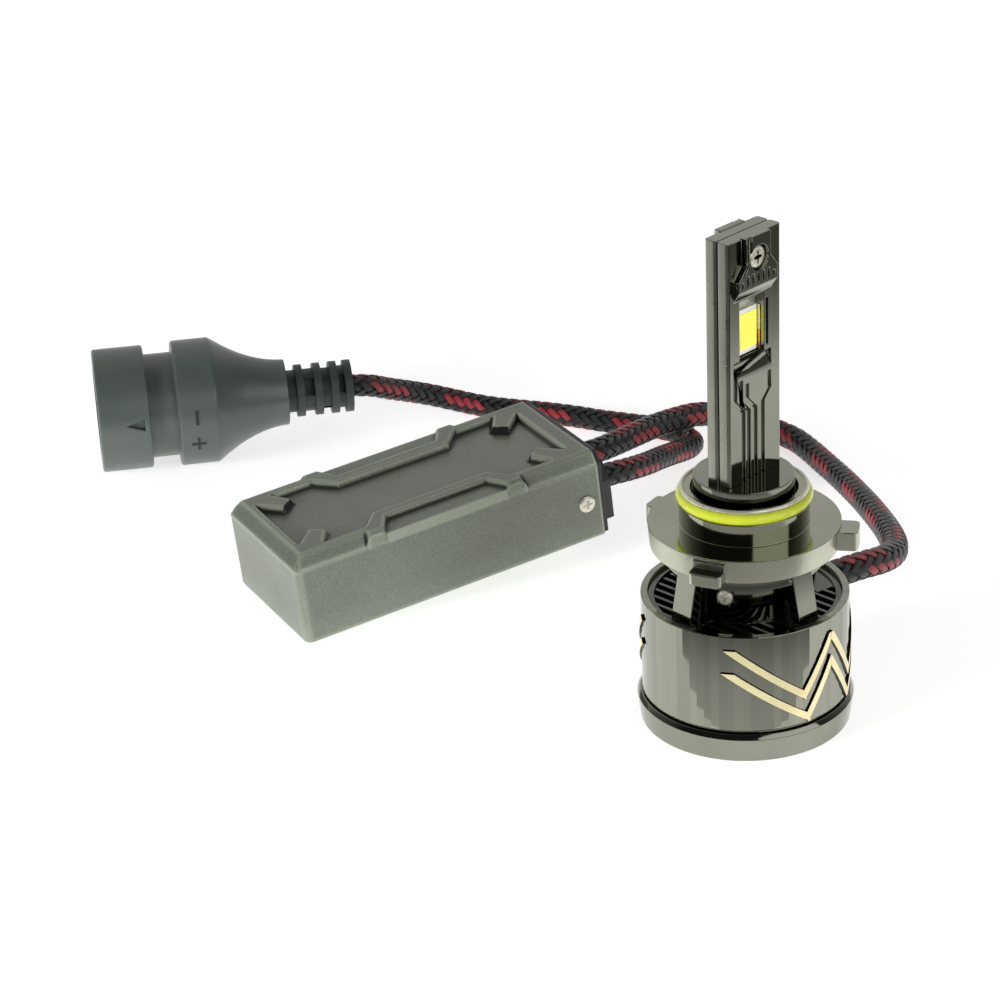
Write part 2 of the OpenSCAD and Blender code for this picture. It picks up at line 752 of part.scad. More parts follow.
// Round control board under the stator.
module fan_board() {
    bore = bearing_r + tube_wall + slip_gap;
    color("green") {
        ring(bore, hub_r - 1.0, board_low, board_low + fan_board_t);
        block([3.4, -1, board_low + fan_board_t - EPS], [5.2, 0.6, board_low + fan_board_t + 0.7]);
    }
}

module fan_bearing() {
    color("goldenrod")
        ring(shaft_r + run_gap, bearing_r - EPS, bearing_low + 0.1, bearing_high - 0.1);
}

module fan_shaft() {
    color("silver")
        translate([0, 0, bearing_low + 0.3]) cylinder(h = hub_high - 0.4 - bearing_low - 0.3, r = shaft_r);
}

module fan_magnet() {
    color("gray")
        ring(hub_r - hub_wall - magnet_t, hub_r - hub_wall - EPS, magnet_low, magnet_high);
}

// Rotor: a cup with leaning blades round it.
module fan_rotor() {
    height = hub_high - hub_low;
    color("black") difference() {
        union() {
            translate([0, 0, hub_low]) cylinder(h = height, r = hub_r);
            intersection() {
                ring(hub_r - 0.3, blade_tip_r, hub_low, hub_high);
                for (i = [0 : blades - 1])
                    rotate([0, 0, 360 * i / blades])
                        translate([0, 0, (hub_low + hub_high) / 2])
                            rotate([blade_lean, 0, 0])
                                block([hub_r - 1, -blade_t / 2, -height], [blade_tip_r + 1, blade_t / 2, height]);
            }
        }
        translate([0, 0, hub_low - 1]) cylinder(h = height - 0.2, r = hub_r - hub_wall);
        translate([0, 0, hub_low - 1]) cylinder(h = height + 0.6, r = shaft_r);
    }
}

// ---------------------------------------------------------------- driver box

// Puts its children at the driver box's place.
module at_driver() {
    translate(driver_origin) rotate([0, -driver_tip, driver_yaw]) children();
}

// The box's outer solid: a plan with rounded ends, under bevels along the top.
module driver_solid() {
    r = corner_r;
    intersection() {
        linear_extrude(driver_h) union() {
            translate([r, 0]) square([driver_l - r, driver_w]);
            translate([0, r]) square([driver_l, driver_w - 2 * r]);
            for (y = [r, driver_w - r]) translate([r, y]) circle(r = r, $fn = 32);
        }
        rotate([90, 0, 90])
            linear_extrude(driver_l) polygon([
                [0, 0], [driver_w, 0], [driver_w, side_h], [driver_w - top_bevel, driver_h],
                [top_bevel, driver_h], [0, side_h]
            ]);
        slab_xz([[0, 0], [driver_l, 0], [driver_l, driver_h], [end_bevel, driver_h], [0, side_h]], 0, driver_w);
    }
}

// One raised side rail of the middle stretch, along y = 0.
module side_rail() {
    rise = 1.5;
    intersection() {
        slab_xz([
            [pocket_low - 5, side_h], [pocket_low - 1.4, side_h + rise], [pocket_high + 1.4, side_h + rise],
            [pocket_high + 3.6, side_h]
        ], 0, pocket_out);
        block([0, 0, side_h - 2], [driver_l, pocket_out, driver_h]);
    }
}

// Outline of the sunken centre panel, with a waist beside the side pockets.
module panel_plan() {
    w = driver_w;
    edge = 4.2;
    waist = pocket_in + 2.6;
    x0 = 3.2;
    x1 = driver_l - 5.6;
    polygon([
        [x0, edge], [pocket_low - 4, edge], [pocket_low - 1.2, waist], [pocket_high + 1.2, waist],
        [pocket_high + 3.6, edge], [x1, edge], [x1, w - edge], [pocket_high + 3.6, w - edge],
        [pocket_high + 1.2, w - waist], [pocket_low - 1.2, w - waist], [pocket_low - 4, w - edge], [x0, w - edge]
    ]);
}

// Metal case, open at its cable end.
module driver_case() {
    tongue_at = [[8.8, 4.2, 0], [driver_l - 8.6, 4.2, 0], [8.8, driver_w - 4.2, 180], [driver_l - 8.6, driver_w - 4.2, 180]];
    color("darkolivegreen") at_driver() difference() {
        union() {
            driver_solid();
            side_rail();
            translate([0, driver_w, 0]) mirror([0, 1, 0]) side_rail();
        }
        difference() {
            translate([0, 0, driver_h - panel_depth]) linear_extrude(5) panel_plan();
            for (t = tongue_at)
                translate([t[0], t[1], driver_h - 5])
                    rotate([0, 0, t[2]])
                        linear_extrude(6) polygon([[-3, -1], [3, -1], [1.9, 3.4], [-1.9, 3.4]]);
        }
        // pockets in both long edges
        for (y = [pocket_out, driver_w - pocket_in])
            slab_xz([
                [pocket_low, driver_h + 1], [pocket_low + 1, driver_h - pocket_depth],
                [pocket_high - 1, driver_h - pocket_depth], [pocket_high, driver_h + 1]
            ], y, y + pocket_in - pocket_out);
        // shallow slot across the cable end
        block([driver_l - 4.1, 7, driver_h - 0.35], [driver_l - 3.2, driver_w - 7.4, driver_h + 1]);
        // inside
        block([driver_wall, driver_wall, driver_wall],
            [driver_l + 1, driver_w - driver_wall, driver_h - pocket_depth - driver_wall]);
        for (y = [-1, driver_w - 3])
            translate([driver_screw_x, y, driver_screw_z])
                rotate([-90, 0, 0]) cylinder(h = 4, r = 0.95 + slip_gap);
    }
}

// Black end cap: plug, flange and the raised block that both cables leave through.
module driver_end_cap() {
    inset = driver_wall + slip_gap;
    inner_top = driver_h - pocket_depth - driver_wall - slip_gap;
    color("black") at_driver() difference() {
        union() {
            block([driver_l - cap_plug_l, inset, inset], [driver_l, driver_w - inset, inner_top]);
            rotate([90, 0, 90]) translate([0, 0, driver_l]) linear_extrude(cap_t) polygon([
                [0.3, 0.4], [driver_w - 0.3, 0.4], [driver_w - 0.3, side_h], [driver_w - top_bevel, driver_h - 0.4],
                [top_bevel, driver_h - 0.4], [0.3, side_h]
            ]);
            rotate([90, 0, 90]) translate([0, 0, driver_l + cap_t - EPS]) linear_extrude(cap_block_t - cap_t) polygon([
                [1, 2.4], [driver_w - 1, 2.4], [driver_w - 1, 10.4], [driver_w - 3.6, 13.6], [3.6, 13.6], [1, 10.4]
            ]);
        }
        for (y = [lamp_exit_y, plug_exit_y])
            translate([driver_l - cap_plug_l - 1, y, exit_z])
                rotate([0, 90, 0]) cylinder(h = 10, r = grommet_r(y) + slip_gap);
        for (y = [0, driver_w - 4])
            translate([driver_screw_x, y, driver_screw_z])
                rotate([-90, 0, 0]) cylinder(h = 4, r = 0.95 + slip_gap);
    }
}
function exit_cable_r(y) = (y == lamp_exit_y ? lamp_cable_d : plug_cable_d) / 2;
function grommet_r(y) = exit_cable_r(y) + 0.9;

// The two screws that hold the end cap, one in each long side.
module driver_screws() {
    color("silver") at_driver() {
        translate([driver_screw_x, 0, driver_screw_z]) rotate([0, 0, -90]) screw(driver_screw_r, 0.5, 0.95, 3.4);
        translate([driver_screw_x, driver_w, driver_screw_z]) rotate([0, 0, 90]) screw(driver_screw_r, 0.5, 0.95, 3.4);
    }
}

// Circuit board on the case's floor.
module driver_board() {
    color("green") at_driver() {
        block([3, driver_wall + slip_gap, pcb_z], [driver_l - cap_plug_l - 1, driver_w - driver_wall - slip_gap, pcb_z + pcb_t]);
        for (x = [8, driver_l - 12])
            for (y = [6, driver_w - 6])
                translate([x, y, driver_wall]) cylinder(h = pcb_z - driver_wall + EPS, r = 1.2);
    }
}

module driver_inductor() {
    color("orange") at_driver()
        translate([15, driver_w / 2, pcb_z + pcb_t + 2.6])
            rotate_extrude() translate([4.6, 0]) circle(r = 2.5, $fn = 32);
}

module driver_capacitors() {
    color("darkblue") at_driver()
        for (y = [8.6, driver_w - 8.6])
            translate([28, y, pcb_z + pcb_t]) cylinder(h = 8, r = 3.1);
}

module driver_chips() {
    color("black") at_driver() {
        block([36, 6, pcb_z + pcb_t], [41, 12, pcb_z + pcb_t + 1.5]);
        block([44, driver_w - 11, pcb_z + pcb_t], [48, driver_w - 6, pcb_z + pcb_t + 1.2]);
        block([36, driver_w - 12, pcb_z + pcb_t], [39, driver_w - 6, pcb_z + pcb_t + 2]);
    }
}

// Rubber bush round one cable in the end cap.
module cap_grommet(y) {
    color("black") at_driver()
        translate([driver_l - cap_plug_l + 0.5, y, exit_z])
            rotate([0, 90, 0]) difference() {
                union() {
                    cylinder(h = cap_plug_l + cap_block_t + 0.4, r = grommet_r(y));
                    translate([0, 0, cap_plug_l + cap_block_t - 0.5])
                        cylinder(h = 0.9, r = grommet_r(y) + 0.6);
                }
                translate([0, 0, -1]) cylinder(h = 12, r = exit_cable_r(y) + 0.12);
            }
}

module lamp_grommet() {
    cap_grommet(lamp_exit_y);
}

module plug_grommet() {
    cap_grommet(plug_exit_y);
}

// ---------------------------------------------------------------- plug

// Puts its children at the plug's place, turned so that x runs to the cable.
module at_plug() {
    translate(plug_origin) rotate([0, 0, plug_yaw]) children();
}

// A solid of revolution about the plug's axis, from [x, r] points.
module turned(pts) {
    rotate([90, 0, 90]) rotate_extrude() polygon([for (p = pts) [p[1], p[0]]]);
}

// Moulded body: front ring, waist, shoulder and the long curved flare.
module plug_body() {
    flare = [for (t = [0 : 0.125 : 1])
        [plug_body_end + t * (plug_end - plug_body_end),
            plug_end_r + (plug_r - 0.4 - plug_end_r) * pow(1 - t, 1.9)]];
    color("dimgray") at_plug() difference() {
        turned(concat(
            [[0, 0], [0, plug_ring_r - 0.3], [0.3, plug_ring_r], [plug_ring_l - 0.3, plug_ring_r],
                [plug_ring_l, plug_ring_r - 0.3], [plug_ring_l, plug_neck_r], [plug_neck_end, plug_neck_r],
                [plug_neck_end, plug_r - 0.3], [plug_neck_end + 0.3, plug_r], [plug_body_end - 0.6, plug_r]],
            flare, [[plug_end, 0]]));
        translate([-1, 0, 0]) rotate([0, 90, 0]) cylinder(h = plug_bore_l + 1, r = plug_bore_r);
        translate([plug_bore_l - 1, 0, 0]) rotate([0, 90, 0]) cylinder(h = 60, r = relief_r + slip_gap);
        // small wedge-shaped notch in the front ring
        rotate([-6, 0, 0]) translate([plug_ring_l, -plug_ring_r, 0]) rotate([90, 0, 0])
            translate([0, 0, -1.2]) linear_extrude(3) polygon([[-1.2, -1.25], [-4.6, 0], [-1.2, 1.25]]);
    }
}

// Terminal holder at the bottom of the socket.
module plug_insert() {
    color("black") at_plug() difference() {
        translate([plug_bore_l - 3, 0, 0]) rotate([0, 90, 0]) cylinder(h = 3 - EPS, r = plug_bore_r - slip_gap);
        for (y = [-pin_gap / 2, pin_gap / 2])
            block([0, y - pin_t / 2 - slip_gap, -pin_w / 2 - slip_gap], [plug_bore_l + 1, y + pin_t / 2 + slip_gap,
                pin_w / 2 + slip_gap]);
    }
}

// The two blade contacts.
module plug_pins() {
    color("silver") at_plug()
        for (y = [-pin_gap / 2, pin_gap / 2])
            block([plug_bore_l - 3 - pin_l + 2, y - pin_t / 2, -pin_w / 2], [plug_bore_l - 0.2, y + pin_t / 2, pin_w / 2]);
}

// Ribbed strain relief where the cable enters the plug.
module plug_strain_relief() {
    ribs = [40.2, 43.9, 47.2, 50.1];
    rib_t = 1.5;
    color("dimgray") at_plug() difference() {
        union() {
            translate([plug_bore_l + 0.1, 0, 0])
                rotate([0, 90, 0]) cylinder(h = relief_end - plug_bore_l - 0.1, r = relief_r);
            for (x = ribs) translate([x, 0, 0]) rotate([0, 90, 0]) cylinder(h = rib_t, r = relief_rib_r);
        }
        translate([plug_bore_l + 4, 0, 0]) rotate([0, 90, 0]) cylinder(h = 60, r = relief_bore_r);
        // slots between the ribs, from alternate sides
        for (i = [0 : 2])
            for (turn = [0, 180])
                rotate([90 * i + turn - 30, 0, 0])
                    block([ribs[i] + rib_t, 3.1, -1.7], [ribs[i + 1], 9, 1.7]);
    }
}

// ---------------------------------------------------------------- cables

module lamp_cable() {
    color("black") tube(smooth_route(lamp_route, route_steps), lamp_cable_d / 2, cable_sides);
}

module plug_cable() {
    color("black") tube(smooth_route(plug_route, route_steps), plug_cable_d / 2, cable_sides);
}

column_front();
column_rear();
column_screw();
copper_core();
led_board_front();
led_board_rear();
led_chip_front();
led_chip_rear();
column_base();
heat_stem();
stem_screw();
stem_wires();
mounting_collar();
seal_ring();
collar_grub_screw();
top_grille();
heat_sink();
fan_housing();
gold_inlay();
housing_grommet();
base_ring();
bottom_guard();
fan_frame();
fan_stator();
fan_board();
fan_bearing();
fan_shaft();
fan_magnet();
fan_rotor();
lamp_cable();
driver_case();
driver_end_cap();
driver_screws();
driver_board();
driver_inductor();
driver_capacitors();
driver_chips();
lamp_grommet();
plug_grommet();
plug_cable();
plug_body();
plug_insert();
plug_pins();
plug_strain_relief();
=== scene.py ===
"""The headlight bulb, dressed: braided cables, machined lamp, driver box and supply plug."""

import logging
import math
from dataclasses import dataclass
from enum import Enum
from typing import Callable, Iterable, Optional, Sequence, Tuple

import bmesh
import bpy
from mathutils import Matrix, Vector
from mathutils.bvhtree import BVHTree


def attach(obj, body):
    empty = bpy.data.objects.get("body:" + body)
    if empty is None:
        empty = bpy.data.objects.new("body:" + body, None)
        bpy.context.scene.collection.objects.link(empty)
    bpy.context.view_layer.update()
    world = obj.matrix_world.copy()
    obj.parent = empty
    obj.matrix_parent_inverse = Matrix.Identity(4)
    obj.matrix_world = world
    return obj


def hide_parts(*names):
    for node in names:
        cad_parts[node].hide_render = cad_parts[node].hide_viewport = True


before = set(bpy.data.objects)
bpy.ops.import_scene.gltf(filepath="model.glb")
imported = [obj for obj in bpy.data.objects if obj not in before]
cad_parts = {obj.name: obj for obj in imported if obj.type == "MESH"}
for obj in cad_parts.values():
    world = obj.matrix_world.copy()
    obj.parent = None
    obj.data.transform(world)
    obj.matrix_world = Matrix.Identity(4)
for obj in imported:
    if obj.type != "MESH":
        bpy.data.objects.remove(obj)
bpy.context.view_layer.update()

log = logging.getLogger("headlight_bulb")

MM = 0.001
TURN = 2 * math.pi
UP = Vector((0, 0, 1))
SMEAR_SHARE = 0.37  # the size of the patches of gloss, as a share of the clouds
PANEL_SHARE = 0.75  # how far a panel's own tint hides the clouds
HOLLOW_SHADE_RIDGE_LIGHT = (0.46, 0.54)  # the pointiness where a hollow gets full painted shade and where a ridge gets full painted highlight
STRAY_SHARE = 0.8  # how far a rounding's vertex may lie off the mesh, as a share of its width
Colour = Tuple[float, float, float]
Point = Tuple[float, float]
Profile = Sequence[Point]
EdgeTest = Callable[[bmesh.types.BMEdge], bool]


class Body(Enum):
    """The moving bodies that a piece can ride on."""

    LAMP = "lamp"
    COLLAR = "collar"
    ROTOR = "rotor"


class Slot(Enum):
    """The record's material slots."""

    GUNMETAL = "gunmetal"
    ALUMINIUM = "aluminium"
    BRONZE_METAL = "bronze_metal"
    NICKEL = "nickel"
    COPPER = "copper"
    BRONZE = "bronze"
    GOLD = "gold"
    CERAMIC = "ceramic"
    PHOSPHOR = "phosphor"
    SEAL = "seal"
    BLACK_RUBBER = "black_rubber"
    BLACK_PLASTIC = "black_plastic"
    PLUG_PLASTIC = "plug_plastic"
    BOARD = "board"
    BRAID = "braid"


class Shading(Enum):
    """How a piece's faces are smoothed: the angle in degrees past which an edge stays sharp."""

    FACETED = 2.0
    MACHINED = 34.0
    ROUND = 60.0


# ---------------------------------------------------------------- finishes


class ShaderTree:
    """A material's node tree round one Principled shader."""

    def __init__(self, name: str) -> None:
        """Starts an empty tree.

        Args:
            name: The material's name.
        """
        self.material = bpy.data.materials.new(name)
        self.material.use_nodes = True
        self.nodes = self.material.node_tree.nodes
        self.nodes.clear()
        output = self.nodes.new("ShaderNodeOutputMaterial")
        self.shader = self.nodes.new("ShaderNodeBsdfPrincipled")
        self.join(self.shader.outputs["BSDF"], output.inputs["Surface"])

    def join(self, source: bpy.types.NodeSocket, target: bpy.types.NodeSocket) -> None:
        """Links one socket to another."""
        self.material.node_tree.links.new(source, target)

    def constant(self, socket: str, value: object) -> None:
        """Sets a number or colour on the shader's own socket."""
        self.shader.inputs[socket].default_value = value

    def coordinates(self, source: str = "Object", scale: Sequence[float] = (1, 1, 1)) -> bpy.types.NodeSocket:
        """Gives the pattern's coordinates.

        Args:
            source: Object or UV.
            scale: The stretch of the pattern along each axis.

        Returns:
            The socket that carries the coordinates.
        """
        start = self.nodes.new("ShaderNodeTexCoord")
        mapping = self.nodes.new("ShaderNodeMapping")
        mapping.inputs["Scale"].default_value = tuple(scale)
        self.join(start.outputs[source], mapping.inputs["Vector"])
        return mapping.outputs["Vector"]

    def noise(self, where: bpy.types.NodeSocket, feature_mm: float, detail: float = 3.0) -> bpy.types.NodeSocket:
        """Adds cloudy noise.

        Args:
            where: The coordinates.
            feature_mm: The size of its features.
            detail: The number of finer layers.

        Returns:
            The noise, from 0 to 1.
        """
        node = self.nodes.new("ShaderNodeTexNoise")
        node.inputs["Scale"].default_value = 1 / (feature_mm * MM)
        node.inputs["Detail"].default_value = detail
        self.join(where, node.inputs["Vector"])
        return node.outputs["Fac"]

    def ramp(self, source: bpy.types.NodeSocket, low: float, high: float, start: object,
             end: object) -> bpy.types.NodeSocket:
        """Turns a number into a colour or a value between two ends.

        Args:
            source: The number, from 0 to 1.
            low: Where the ramp starts.
            high: Where it ends.
            start: The colour or the value at its start.
            end: The colour or the value at its end.

        Returns:
            The ramp's colour.
        """
        node = self.nodes.new("ShaderNodeValToRGB")
        for element, place, value in zip(node.color_ramp.elements, (low, high), (start, end)):
            element.position = place
            element.color = (*value, 1.0) if isinstance(value, tuple) else (value, value, value, 1.0)
        self.join(source, node.inputs["Fac"])
        return node.outputs["Color"]

    def blend(self, first: bpy.types.NodeSocket, second: bpy.types.NodeSocket, share: float) -> bpy.types.NodeSocket:
        """Mixes two numbers.

        Args:
            first: One number.
            second: The other.
            share: The second number's share.

        Returns:
            The mixture.
        """
        node = self.nodes.new("ShaderNodeMix")
        node.inputs["Factor"].default_value = share
        self.join(first, node.inputs["A"])
        self.join(second, node.inputs["B"])
        return node.outputs["Result"]

    def panel(self, where: bpy.types.NodeSocket, count: int) -> bpy.types.NodeSocket:
        """Gives each flat panel round the Z axis a number of its own.

        Args:
            where: The coordinates.
            count: The number of panels.

        Returns:
            The number, from 0 to 1.
        """
        parts = self.nodes.new("ShaderNodeSeparateXYZ")
        turn, share, whole = (self.nodes.new("ShaderNodeMath") for _ in range(3))
        turn.operation, share.operation, whole.operation = "ARCTAN2", "MULTIPLY", "FLOOR"
        share.inputs[1].default_value = count / TURN
        chance = self.nodes.new("ShaderNodeTexWhiteNoise")
        chance.noise_dimensions = "1D"
        self.join(where, parts.inputs[0])
        self.join(parts.outputs["Y"], turn.inputs[0])
        self.join(parts.outputs["X"], turn.inputs[1])
        self.join(turn.outputs[0], share.inputs[0])
        self.join(share.outputs[0], whole.inputs[0])
        self.join(whole.outputs[0], chance.inputs["W"])
        return chance.outputs["Value"]

    def bump(self, height: bpy.types.NodeSocket, depth_mm: float) -> bpy.types.NodeSocket:
        """Adds relief.

        Args:
            height: The relief's height, from 0 to 1.
            depth_mm: Its depth.

        Returns:
            The normal.
        """
        node = self.nodes.new("ShaderNodeBump")
        node.inputs["Distance"].default_value = depth_mm * MM
        node.inputs["Strength"].default_value = 1.0
        self.join(height, node.inputs["Height"])
        return node.outputs["Normal"]


@dataclass(frozen=True)
class Finish:
    """A surface with a cloudy tint, a patchy gloss and a fine grain.

    A speckle mixes the grain into the tint, panels give each flat panel of a faceted wall its own tint, and painted
    edge light lightens the ridges as a painted highlight and darkens the hollows as painted shade.
    """

    name: str
    colour: Colour
    tint: Colour
    metallic: float = 0.0
    gloss: Tuple[float, float] = (0.3, 0.45)
    cloud_mm: float = 6.0
    grain_mm: float = 0.12
    grain_depth_mm: float = 0.004
    coat: float = 0.0
    coat_roughness: float = 0.1
    specular: float = 0.5
    glow: float = 0.0
    depth: float = 0.0
    sheen: float = 0.0
    speckle: float = 0.0
    panels: int = 0
    ridge_light_hollow_shade: float = 0.0

    def material(self) -> bpy.types.Material:
        """Builds the material, or returns the one already built.

        Returns:
            The material.
        """
        known = bpy.data.materials.get(self.name)
        if known is not None:
            return known
        tree = ShaderTree(self.name)
        where = tree.coordinates()
        cloud = tree.noise(where, self.cloud_mm)
        grain = tree.noise(where, self.grain_mm, 2.0)
        if self.speckle:
            cloud = tree.blend(cloud, grain, self.speckle)
        if self.ridge_light_hollow_shade:
            # painted highlight on the ridges and painted shade in the hollows, from the mesh's pointiness
            shape = tree.nodes.new("ShaderNodeNewGeometry")
            cavity_light = tree.ramp(shape.outputs["Pointiness"], *HOLLOW_SHADE_RIDGE_LIGHT, 1.0, 0.0)
            cloud = tree.blend(cloud, cavity_light, self.ridge_light_hollow_shade)
        if self.panels:
            cloud = tree.blend(cloud, tree.panel(where, self.panels), PANEL_SHARE)
        tree.join(tree.ramp(cloud, 0.32, 0.68, self.colour, self.tint), tree.shader.inputs["Base Color"])
        smear = tree.noise(where, self.cloud_mm * SMEAR_SHARE, 5.0)
        tree.join(tree.ramp(smear, 0.3, 0.7, self.gloss[0], self.gloss[1]), tree.shader.inputs["Roughness"])
        tree.join(tree.bump(grain, self.grain_depth_mm), tree.shader.inputs["Normal"])
        for socket, value in {
            "Metallic": self.metallic, "Coat Weight": self.coat, "Coat Roughness": self.coat_roughness,
            "Specular IOR Level": self.specular, "Sheen Weight": self.sheen,
        }.items():
            tree.constant(socket, value)
        if self.glow:
            tree.constant("Emission Color", (*self.colour, 1.0))
            tree.constant("Emission Strength", self.glow)
        if self.depth:
            tree.constant("Subsurface Weight", 1.0)
            tree.constant("Subsurface Scale", self.depth * MM)
            tree.constant("Subsurface Radius", (1.0, 0.9, 0.3))
        return tree.material


@dataclass(frozen=True)
class Yarn:
    """A flat bundle of filaments, with its pattern along the strand."""

    name: str
    colour: Colour
    tint: Colour
    gloss: float = 0.38
    sheen: float = 0.04
    filaments: int = 9
    runs: float = 90.0

    def material(self) -> bpy.types.Material:
        """Builds the material, or returns the one already built.

        Returns:
            The material.
        """
        known = bpy.data.materials.get(self.name)
        if known is not None:
            return known
        tree = ShaderTree(self.name)
        lines = tree.nodes.new("ShaderNodeTexWave")
        lines.bands_direction = "Y"
        lines.inputs["Scale"].default_value = 1.0
        lines.inputs["Distortion"].default_value = 1.2
        lines.inputs["Detail"].default_value = 2.0
        tree.join(tree.coordinates("UV", (self.runs, self.filaments, 1)), lines.inputs["Vector"])
        patch = tree.noise(tree.coordinates(), 1.6, 4.0)
        mix = tree.nodes.new("ShaderNodeMix")
        mix.data_type = "RGBA"
        mix.blend_type = "MULTIPLY"
        mix.inputs["Factor"].default_value = 0.55
        tree.join(tree.ramp(patch, 0.3, 0.7, self.colour, self.tint), mix.inputs["A"])
        tree.join(tree.ramp(lines.outputs["Fac"], 0.0, 0.7, 0.35, 1.0), mix.inputs["B"])
        tree.join(mix.outputs["Result"], tree.shader.inputs["Base Color"])
        tree.join(tree.bump(lines.outputs["Fac"], 0.05), tree.shader.inputs["Normal"])
        tree.constant("Roughness", self.gloss)
        tree.constant("Sheen Weight", self.sheen)
        tree.constant("Specular IOR Level", 0.8)
        return tree.material


DARK_CHROME = Finish("dark_chrome", (0.30, 0.305, 0.25), (0.27, 0.275, 0.225), 1.0, (0.05, 0.10), 9.0, 0.25, 0.0005)
SATIN_CHROME = Finish("satin_chrome", (0.38, 0.385, 0.30), (0.35, 0.355, 0.28), 1.0, (0.06, 0.12), 9.0, 0.15, 0.0006)
PANEL_CHROME = Finish(
    "panel_chrome", (0.315, 0.32, 0.262), (0.275, 0.28, 0.229), 1.0, (0.05, 0.10), 9.0, 0.25, 0.0005, panels=84)
BRUSHED_SIDE = Finish("brushed_side", (0.42, 0.425, 0.35), (0.36, 0.365, 0.30), 1.0, (0.26, 0.34), 9.0, 0.2, 0.0015)
TURNED_RIM = Finish("turned_rim", (0.58, 0.59, 0.47), (0.52, 0.53, 0.42), 1.0, (0.30, 0.36), 9.0, 0.1, 0.0015)
BLACK_CHROME = Finish("black_chrome", (0.14, 0.145, 0.12), (0.10, 0.105, 0.09), 1.0, (0.1, 0.2), 5.0, 0.25, 0.0008)
# the ridges of this finish carry a painted highlight and its hollows carry painted shade
SATIN_BRONZE = Finish(
    "satin_bronze", (0.27, 0.304, 0.236), (0.03, 0.034, 0.026), 0.3, (0.26, 0.34), 14.0, 0.26, 0.014, specular=0.9,
    speckle=0.75, ridge_light_hollow_shade=0.62)
# near-black copy of the bronze, used as painted shade on the tongues' tip walls
PAINTED_SHADE_BRONZE = Finish("painted_shade_bronze", (0.012, 0.013, 0.011), (0.008, 0.009, 0.008), 0.0, (0.4, 0.5), 3.0, 0.3, 0.01)
BRIGHT_NICKEL = Finish("bright_nickel", (0.80, 0.78, 0.66), (0.70, 0.68, 0.56), 0.75, (0.24, 0.34), 1.5, 0.1, 0.003)
BARE_COPPER = Finish("bare_copper", (0.74, 0.36, 0.20), (0.66, 0.30, 0.16), 1.0, (0.2, 0.34), 2.0, 0.1, 0.003)
SINTERED_BRONZE = Finish("sintered_bronze", (0.42, 0.28, 0.12), (0.35, 0.23, 0.1), 1.0, (0.4, 0.5), 1.0, 0.08, 0.006)
FIN_ALUMINIUM = Finish("fin_aluminium", (0.52, 0.53, 0.47), (0.44, 0.45, 0.40), 1.0, (0.25, 0.38), 3.0, 0.15, 0.002)
PALE_GOLD = Finish("pale_gold", (0.93, 0.86, 0.50), (0.88, 0.78, 0.42), 0.6, (0.26, 0.36), 4.0, 0.12, 0.002, coat=0.3)
CERAMIC = Finish("white_ceramic", (0.86, 0.87, 0.83), (0.78, 0.79, 0.75), 0.0, (0.2, 0.3), 1.5, 0.08, 0.001, coat=0.4)
PHOSPHOR = Finish(
    "yellow_phosphor", (0.95, 0.93, 0.11), (0.92, 0.88, 0.10), 0.0, (0.35, 0.5), 1.0, 0.05, 0.002, glow=0.35, depth=0.4)
SILICONE = Finish(
    "seal_silicone", (0.58, 0.65, 0.045), (0.54, 0.61, 0.04), 0.0, (0.22, 0.3), 6.0, 0.3, 0.0015, coat=0.5, depth=0.8)
RUBBER = Finish("black_rubber", (0.018, 0.019, 0.018), (0.012, 0.013, 0.012), 0.0, (0.5, 0.6), 3.0, 0.12, 0.006)
BLACK_MOULDING = Finish(
    "black_moulding", (0.02, 0.021, 0.02), (0.015, 0.016, 0.015), 0.0, (0.34, 0.44), 5.0, 0.14, 0.006)
PLUG_MOULDING = Finish(
    "plug_moulding", (0.074, 0.091, 0.079), (0.062, 0.078, 0.067), 0.0, (0.28, 0.38), 9.0, 0.22, 0.014, specular=0.8)
RELIEF_RUBBER = Finish(
    "relief_rubber", (0.034, 0.045, 0.042), (0.026, 0.036, 0.034), 0.0, (0.42, 0.52), 4.0, 0.14, 0.008)
SOLDER_MASK = Finish(
    "solder_mask", (0.02, 0.16, 0.05), (0.015, 0.12, 0.04), 0.0, (0.25, 0.35), 2.0, 0.4, 0.01, coat=0.3)
BLACK_YARN = Yarn("black_yarn", (0.007, 0.0095, 0.009), (0.003, 0.0045, 0.004), gloss=0.28, sheen=0.0)
RED_YARN = Yarn("red_yarn", (0.46, 0.030, 0.042), (0.30, 0.018, 0.028), gloss=0.42)
CABLE_CORE = Finish("cable_core", (0.008, 0.008, 0.008), (0.006, 0.006, 0.006), 0.0, (0.6, 0.7), 2.0, 0.2, 0.01)
PALE_FLOOR = Finish(
    "pale_floor", (0.93, 0.93, 0.93), (0.915, 0.915, 0.915), 0.0, (0.6, 0.7), 60.0, 1.0, 0.002, glow=0.70)


# ---------------------------------------------------------------- shaping


def edges_past(bm: bmesh.types.BMesh, degrees: float, keep: Optional[EdgeTest] = None) -> list:
    """Finds the edges where two faces turn by more than an angle.

    Args:
        bm: The mesh.
        degrees: The angle.
        keep: A test that an edge also has to pass.

    Returns:
        The edges.
    """
    return [
        e for e in bm.edges
        if len(e.link_faces) == 2 and e.calc_face_angle(0.0) > math.radians(degrees) and (keep is None or keep(e))
    ]


